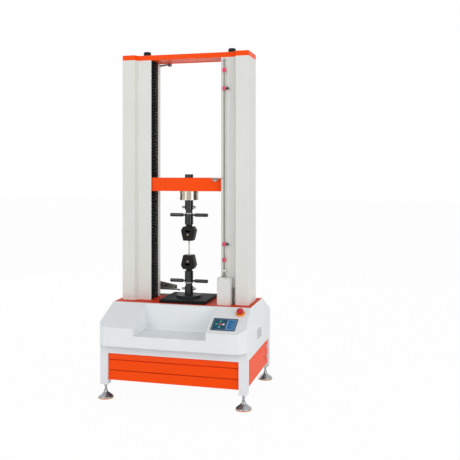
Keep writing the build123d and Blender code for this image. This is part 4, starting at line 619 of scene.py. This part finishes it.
# %% Lens block
low, high = (Vector(corner) for corner in LENS_BOX)
bm = bmesh.new()
made = bmesh.ops.create_cube(bm, size=1)
bmesh.ops.scale(bm, vec=high - low, verts=made["verts"])
bmesh.ops.translate(bm, vec=(low + high) / 2, verts=made["verts"])
rims = bmesh.ops.inset_individual(bm, faces=bm.faces, thickness=LENS_RIM, depth=0)["faces"]
bmesh.ops.bevel(bm, geom=list(bm.edges), offset=LENS_EDGE, segments=1, profile=0.5, affect="EDGES", material=-1)
lens = finished(bm, "reader_lens_block", surface("moulded_lens_block", "121416", 0.25, FINE_GRAIN))
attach(lens, "upper_arm")
print("rims on the lens block:", len(rims))

# %% [markdown]
# ## The grip windows
# Each grip has a slot-shaped window in its front wall, above the wedges, through
# which the end of the strip can be checked. A black patch would do from one side
# only, so a slot is really cut: a copy of the grip's mesh has its loose triangles
# merged, and a slot-shaped cutter is taken away from it.

# %% The slot cutter
WINDOW_HALF_WIDTH = 0.017
WINDOW_RADIUS = 0.007
WINDOW_FROM_MOUTH = 0.061
WALL_Y = (-0.036, -0.0205)
MERGE_DISTANCE = 1e-6


def slot_cutter(centre_z):
    """A slot-shaped bar along Y, centred on X."""
    bm = bmesh.new()
    made = bmesh.ops.create_circle(bm, cap_ends=True, segments=32, radius=WINDOW_RADIUS)
    bmesh.ops.rotate(bm, verts=made["verts"], matrix=Matrix.Rotation(math.radians(90), 3, "X"))
    reach = WINDOW_HALF_WIDTH - WINDOW_RADIUS
    for side in (-1, 1):
        half = [vert for vert in made["verts"] if vert.co.x * side > MERGE_DISTANCE]
        bmesh.ops.translate(bm, vec=(side * reach, 0, 0), verts=half)
    bmesh.ops.translate(bm, vec=(0, WALL_Y[0], centre_z), verts=made["verts"])
    pushed = bmesh.ops.extrude_face_region(bm, geom=list(bm.faces))["geom"]
    bmesh.ops.translate(bm, vec=(0, WALL_Y[1] - WALL_Y[0], 0),
                        verts=[item for item in pushed if isinstance(item, bmesh.types.BMVert)])
    bmesh.ops.recalc_face_normals(bm, faces=bm.faces)
    return finished(bm, "slot_cutter", blasted_black)


# %% Grips with their windows
def windowed_grip(name, node, body, centre_z):
    """A copy of a grip body with a slot cut through its front wall."""
    bm = bmesh.new()
    bm.from_mesh(nodes[node].data)
    bmesh.ops.remove_doubles(bm, verts=bm.verts, dist=MERGE_DISTANCE)
    grip = finished(bm, name, blasted_black)
    cutter = slot_cutter(centre_z)
    cut = grip.modifiers.new("window", "BOOLEAN")
    cut.object = cutter
    cut.operation = "DIFFERENCE"
    cut.solver = "EXACT"
    bpy.context.view_layer.update()
    evaluated = grip.evaluated_get(bpy.context.evaluated_depsgraph_get())
    solid = bpy.data.meshes.new_from_object(evaluated)
    grip.modifiers.clear()
    grip.data = solid
    bpy.data.objects.remove(cutter)
    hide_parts(node)
    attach(grip, body)
    print(name, "faces:", len(solid.polygons))


windowed_grip("upper_windowed_grip", "upper_grip_body", "crosshead",
              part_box("upper_grip_body")[0].z + WINDOW_FROM_MOUTH)
windowed_grip("lower_windowed_grip", "lower_grip_body", "frame",
              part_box("lower_grip_body")[1].z - WINDOW_FROM_MOUTH)

# %% [markdown]
# ## Screws
# Real machines show their screws. Each one here is a socket head: a round head with
# a chamfered rim and a hexagonal hole for the key. One head is built from two rings,
# a 24-sided one for the rim and a 6-sided one for the hole, bridged on top. It is
# then placed wherever the list says, square to the face that it sits on.

# %% Shape and facing of a socket head
RIM_SIDES = 24
CHAMFER_SHARE = 0.2
CROWN_SHARE = 0.88
KEY_HOLE_SHARE = 0.52
KEY_HOLE_DEPTH = 0.55
FACING = {
    "up": Matrix.Identity(4),
    "front": Matrix.Rotation(math.radians(90), 4, "X"),
    "rear": Matrix.Rotation(math.radians(-90), 4, "X"),
    "right": Matrix.Rotation(math.radians(90), 4, "Y"),
    "left": Matrix.Rotation(math.radians(-90), 4, "Y"),
}


# %% One socket head
def raised_ring(bm, edges, lift, factor):
    """Extrudes an open ring of edges upwards and scales it about Z."""
    made = bmesh.ops.extrude_edge_only(bm, edges=edges)["geom"]
    verts = [item for item in made if isinstance(item, bmesh.types.BMVert)]
    bmesh.ops.scale(bm, vec=(factor, factor, 1), verts=verts)
    bmesh.ops.translate(bm, vec=(0, 0, lift), verts=verts)
    return [item for item in made if isinstance(item, bmesh.types.BMEdge)]


def socket_head(radius, height):
    """A socket head that stands on the XY plane, as a mesh of its own."""
    bm = bmesh.new()
    rim = bmesh.ops.create_circle(bm, segments=RIM_SIDES, radius=radius)["verts"]
    foot = list({edge for vert in rim for edge in vert.link_edges})
    bmesh.ops.edgeloop_fill(bm, edges=foot)
    wall = raised_ring(bm, foot, height * (1 - CHAMFER_SHARE), 1)
    crown = raised_ring(bm, wall, height * CHAMFER_SHARE, CROWN_SHARE)
    corners = bmesh.ops.create_circle(bm, segments=6, radius=radius * KEY_HOLE_SHARE)["verts"]
    bmesh.ops.translate(bm, vec=(0, 0, height), verts=corners)
    hole = list({edge for vert in corners for edge in vert.link_edges})
    bmesh.ops.bridge_loops(bm, edges=crown + hole)
    floor_edges = raised_ring(bm, hole, -height * KEY_HOLE_DEPTH, 1)
    bmesh.ops.edgeloop_fill(bm, edges=floor_edges)
    bmesh.ops.recalc_face_normals(bm, faces=bm.faces)
    mesh = bpy.data.meshes.new("socket_head")
    bm.to_mesh(mesh)
    bm.free()
    return mesh


# %% All screws of one size
def screws(name, body, material, radius, height, places):
    """All screws of one size on one body. Each place is (x, y, z, facing)."""
    head = socket_head(radius, height)
    bm = bmesh.new()
    for x, y, z, facing in places:
        start = len(bm.verts)
        bm.from_mesh(head)
        bm.verts.ensure_lookup_table()
        bmesh.ops.transform(bm, matrix=Matrix.Translation((x, y, z)) @ FACING[facing], verts=bm.verts[start:])
    bpy.data.meshes.remove(head)
    piece = finished(bm, name, material)
    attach(piece, body)
    print(name, len(places))


# %% [markdown]
# ## Where the screws go
# Black cap screws lie in the platen's counterbores and bright ones close the grips.
# Small heads hold the switch box lid, the striker and the covers at the sides and
# the back, in rows that a fitter could reach.

# %% Screw places
BOX_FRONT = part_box("limit_switch")[0].y
GRIP_FRONT, GRIP_BACK = (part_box("lower_grip_body")[end].y for end in (0, 1))
COLUMN_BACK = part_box("right_column_cover")[1].y
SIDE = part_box("side_covers")[1].x
GRIP_SCREW_FROM_MOUTH = 0.04
LOWER_GRIP_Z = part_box("lower_grip_body")[1].z - GRIP_SCREW_FROM_MOUTH
UPPER_GRIP_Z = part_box("upper_grip_body")[0].z + GRIP_SCREW_FROM_MOUTH
CAP_SCREW_OUT = 0.128
COUNTERBORE_FLOOR = 0.58
LID_SCREW_X = (0.2304, 0.3014)
LID_SCREW_Z = (0.578, 0.730)
STRIKER_FRONT = -0.066
STRIKER_SCREW_X = (0.183, 0.201)
STRIKER_SCREW_Z = 1.3505
BACK_SCREW_X = (-0.407, -0.246, 0.246, 0.407)
BACK_SCREW_Z = (0.64, 1.0, 1.36, 1.72, 2.08)
SIDE_SCREW_Y = (-0.15, 0.15)
SIDE_SCREW_Z = 0.40

# %% Black and bright screws
bright_screw = surface("zinc_plated_screw", "C4BA9C", 0.3, FINE_GRAIN, metallic=1.0)
black_screw = surface("black_oxide_screw", "17181A", 0.4, FINE_GRAIN, metallic=0.6)

screws("platen_cap_screws", "frame", black_screw, radius=0.008, height=0.0085, places=[
    (x, y, COUNTERBORE_FLOOR, "up") for x in (-CAP_SCREW_OUT, CAP_SCREW_OUT) for y in (-CAP_SCREW_OUT, CAP_SCREW_OUT)
])
screws("lower_grip_screws", "frame", bright_screw, radius=0.0055, height=0.003, places=[
    (0, GRIP_FRONT, LOWER_GRIP_Z, "front"), (0, GRIP_BACK, LOWER_GRIP_Z, "rear"),
])
screws("upper_grip_screws", "crosshead", bright_screw, radius=0.0055, height=0.003, places=[
    (0, GRIP_FRONT, UPPER_GRIP_Z, "front"), (0, GRIP_BACK, UPPER_GRIP_Z, "rear"),
])
screws("striker_screws", "crosshead", black_screw, radius=0.004, height=0.003, places=[
    (x, STRIKER_FRONT, STRIKER_SCREW_Z, "front") for x in STRIKER_SCREW_X
])

# %% Painted screws
white_screw = surface("painted_screw", "CFD2D2", 0.45, FINE_GRAIN)

screws("switch_box_screws", "frame", white_screw, radius=0.0032, height=0.0016, places=[
    (x, BOX_FRONT, z, "front") for x in LID_SCREW_X for z in LID_SCREW_Z
])
screws("column_back_screws", "frame", white_screw, radius=0.0045, height=0.0022, places=[
    (x, COLUMN_BACK, z, "rear") for x in BACK_SCREW_X for z in BACK_SCREW_Z
])
screws("side_cover_screws", "frame", white_screw, radius=0.0045, height=0.0022, places=[
    (side * SIDE, y, SIDE_SCREW_Z, facing) for side, facing in ((1, "right"), (-1, "left")) for y in SIDE_SCREW_Y
])

# %% [markdown]
# ## The studio
# The machine stands on a white floor in soft light that comes mostly from the
# sides, as between tall softboxes, so upright faces are bright and the table under
# the grips is darker, also through painted shade in the table's coat. Camera, glossy
# and glass rays see the floor and the world as white, so the background is clean
# and metal mirrors it, while the light on the machine stays at a plain level. The
# floor keeps a part of its shading, which is the soft shadow under the feet.

# %% World
HORIZON_LEVEL = 0.85
ZENITH_LEVEL = 0.4
FLOOR_GLOW = 0.96


def seen_directly(tree):
    """One for rays that carry the background itself, and zero for light on the machine."""
    rays = add(tree, "ShaderNodeLightPath")
    seen = rays.outputs["Is Camera Ray"]
    for other in ("Is Glossy Ray", "Is Transmission Ray"):
        seen = add(tree, "ShaderNodeMath", {0: seen, 1: rays.outputs[other]}, operation="MAXIMUM").outputs[0]
    return seen


world = bpy.data.worlds.new("white_studio")
bpy.context.scene.world = world
world.use_nodes = True
tree = world.node_tree
direction = add(tree, "ShaderNodeSeparateXYZ", {"Vector": add(tree, "ShaderNodeTexCoord").outputs["Generated"]})
soft = add(tree, "ShaderNodeMapRange", {
    "Value": direction.outputs["Z"], "To Min": HORIZON_LEVEL, "To Max": ZENITH_LEVEL,
})
level = add(tree, "ShaderNodeMapRange", {
    "Value": seen_directly(tree), "To Min": soft.outputs["Result"], "To Max": 1.0,
})
backdrop = tree.nodes["Background"]
backdrop.inputs["Color"].default_value = (1, 1, 1, 1)
tree.links.new(level.outputs["Result"], backdrop.inputs["Strength"])

# %% Floor
FLOOR_SIZE = 30.0

floor_material = surface("matt_white_floor", "FFFFFF", 0.7, (4.0, 0.01), drift=(400, 0.0))
tree = floor_material.node_tree
glow = add(tree, "ShaderNodeEmission", {"Color": (1, 1, 1, 1), "Strength": 1.0})
share = add(tree, "ShaderNodeMath", {0: seen_directly(tree), 1: FLOOR_GLOW}, operation="MULTIPLY")
mixed = add(tree, "ShaderNodeMixShader", {
    0: share.outputs[0], 1: tree.nodes["Principled BSDF"].outputs[0], 2: glow.outputs[0],
})
tree.links.new(mixed.outputs[0], tree.nodes["Material Output"].inputs["Surface"])
bm = bmesh.new()
bmesh.ops.create_grid(bm, x_segments=1, y_segments=1, size=FLOOR_SIZE)
floor = finished(bm, "studio_floor", floor_material)


# %% Lamps
def lamp(name, place, target, width, height, watts):
    """A soft rectangular lamp that points at a target."""
    data = bpy.data.lights.new(name, "AREA")
    data.shape = "RECTANGLE"
    data.size = width
    data.size_y = height
    data.energy = watts
    light = bpy.data.objects.new(name, data)
    light.location = place
    aim = Vector(target) - Vector(place)
    light.rotation_euler = aim.to_track_quat("-Z", "Y").to_euler()
    bpy.context.scene.collection.objects.link(light)
    print(name, watts, "W")


CROSSHEAD_AIM = (0, 0, 1.3)
GRIP_AIM = (0, 0, 1.0)
lamp("front_left_lamp", (-2.0, -4.9, 2.6), CROSSHEAD_AIM, width=0.9, height=3.6, watts=42)
lamp("right_lamp", (4.4, -2.8, 2.4), CROSSHEAD_AIM, width=0.9, height=3.6, watts=64)
lamp("rear_left_lamp", (-4.0, 3.4, 2.1), GRIP_AIM, width=1.6, height=2.4, watts=34)

# %% The finish
bpy.context.scene.view_settings.view_transform = "Standard"
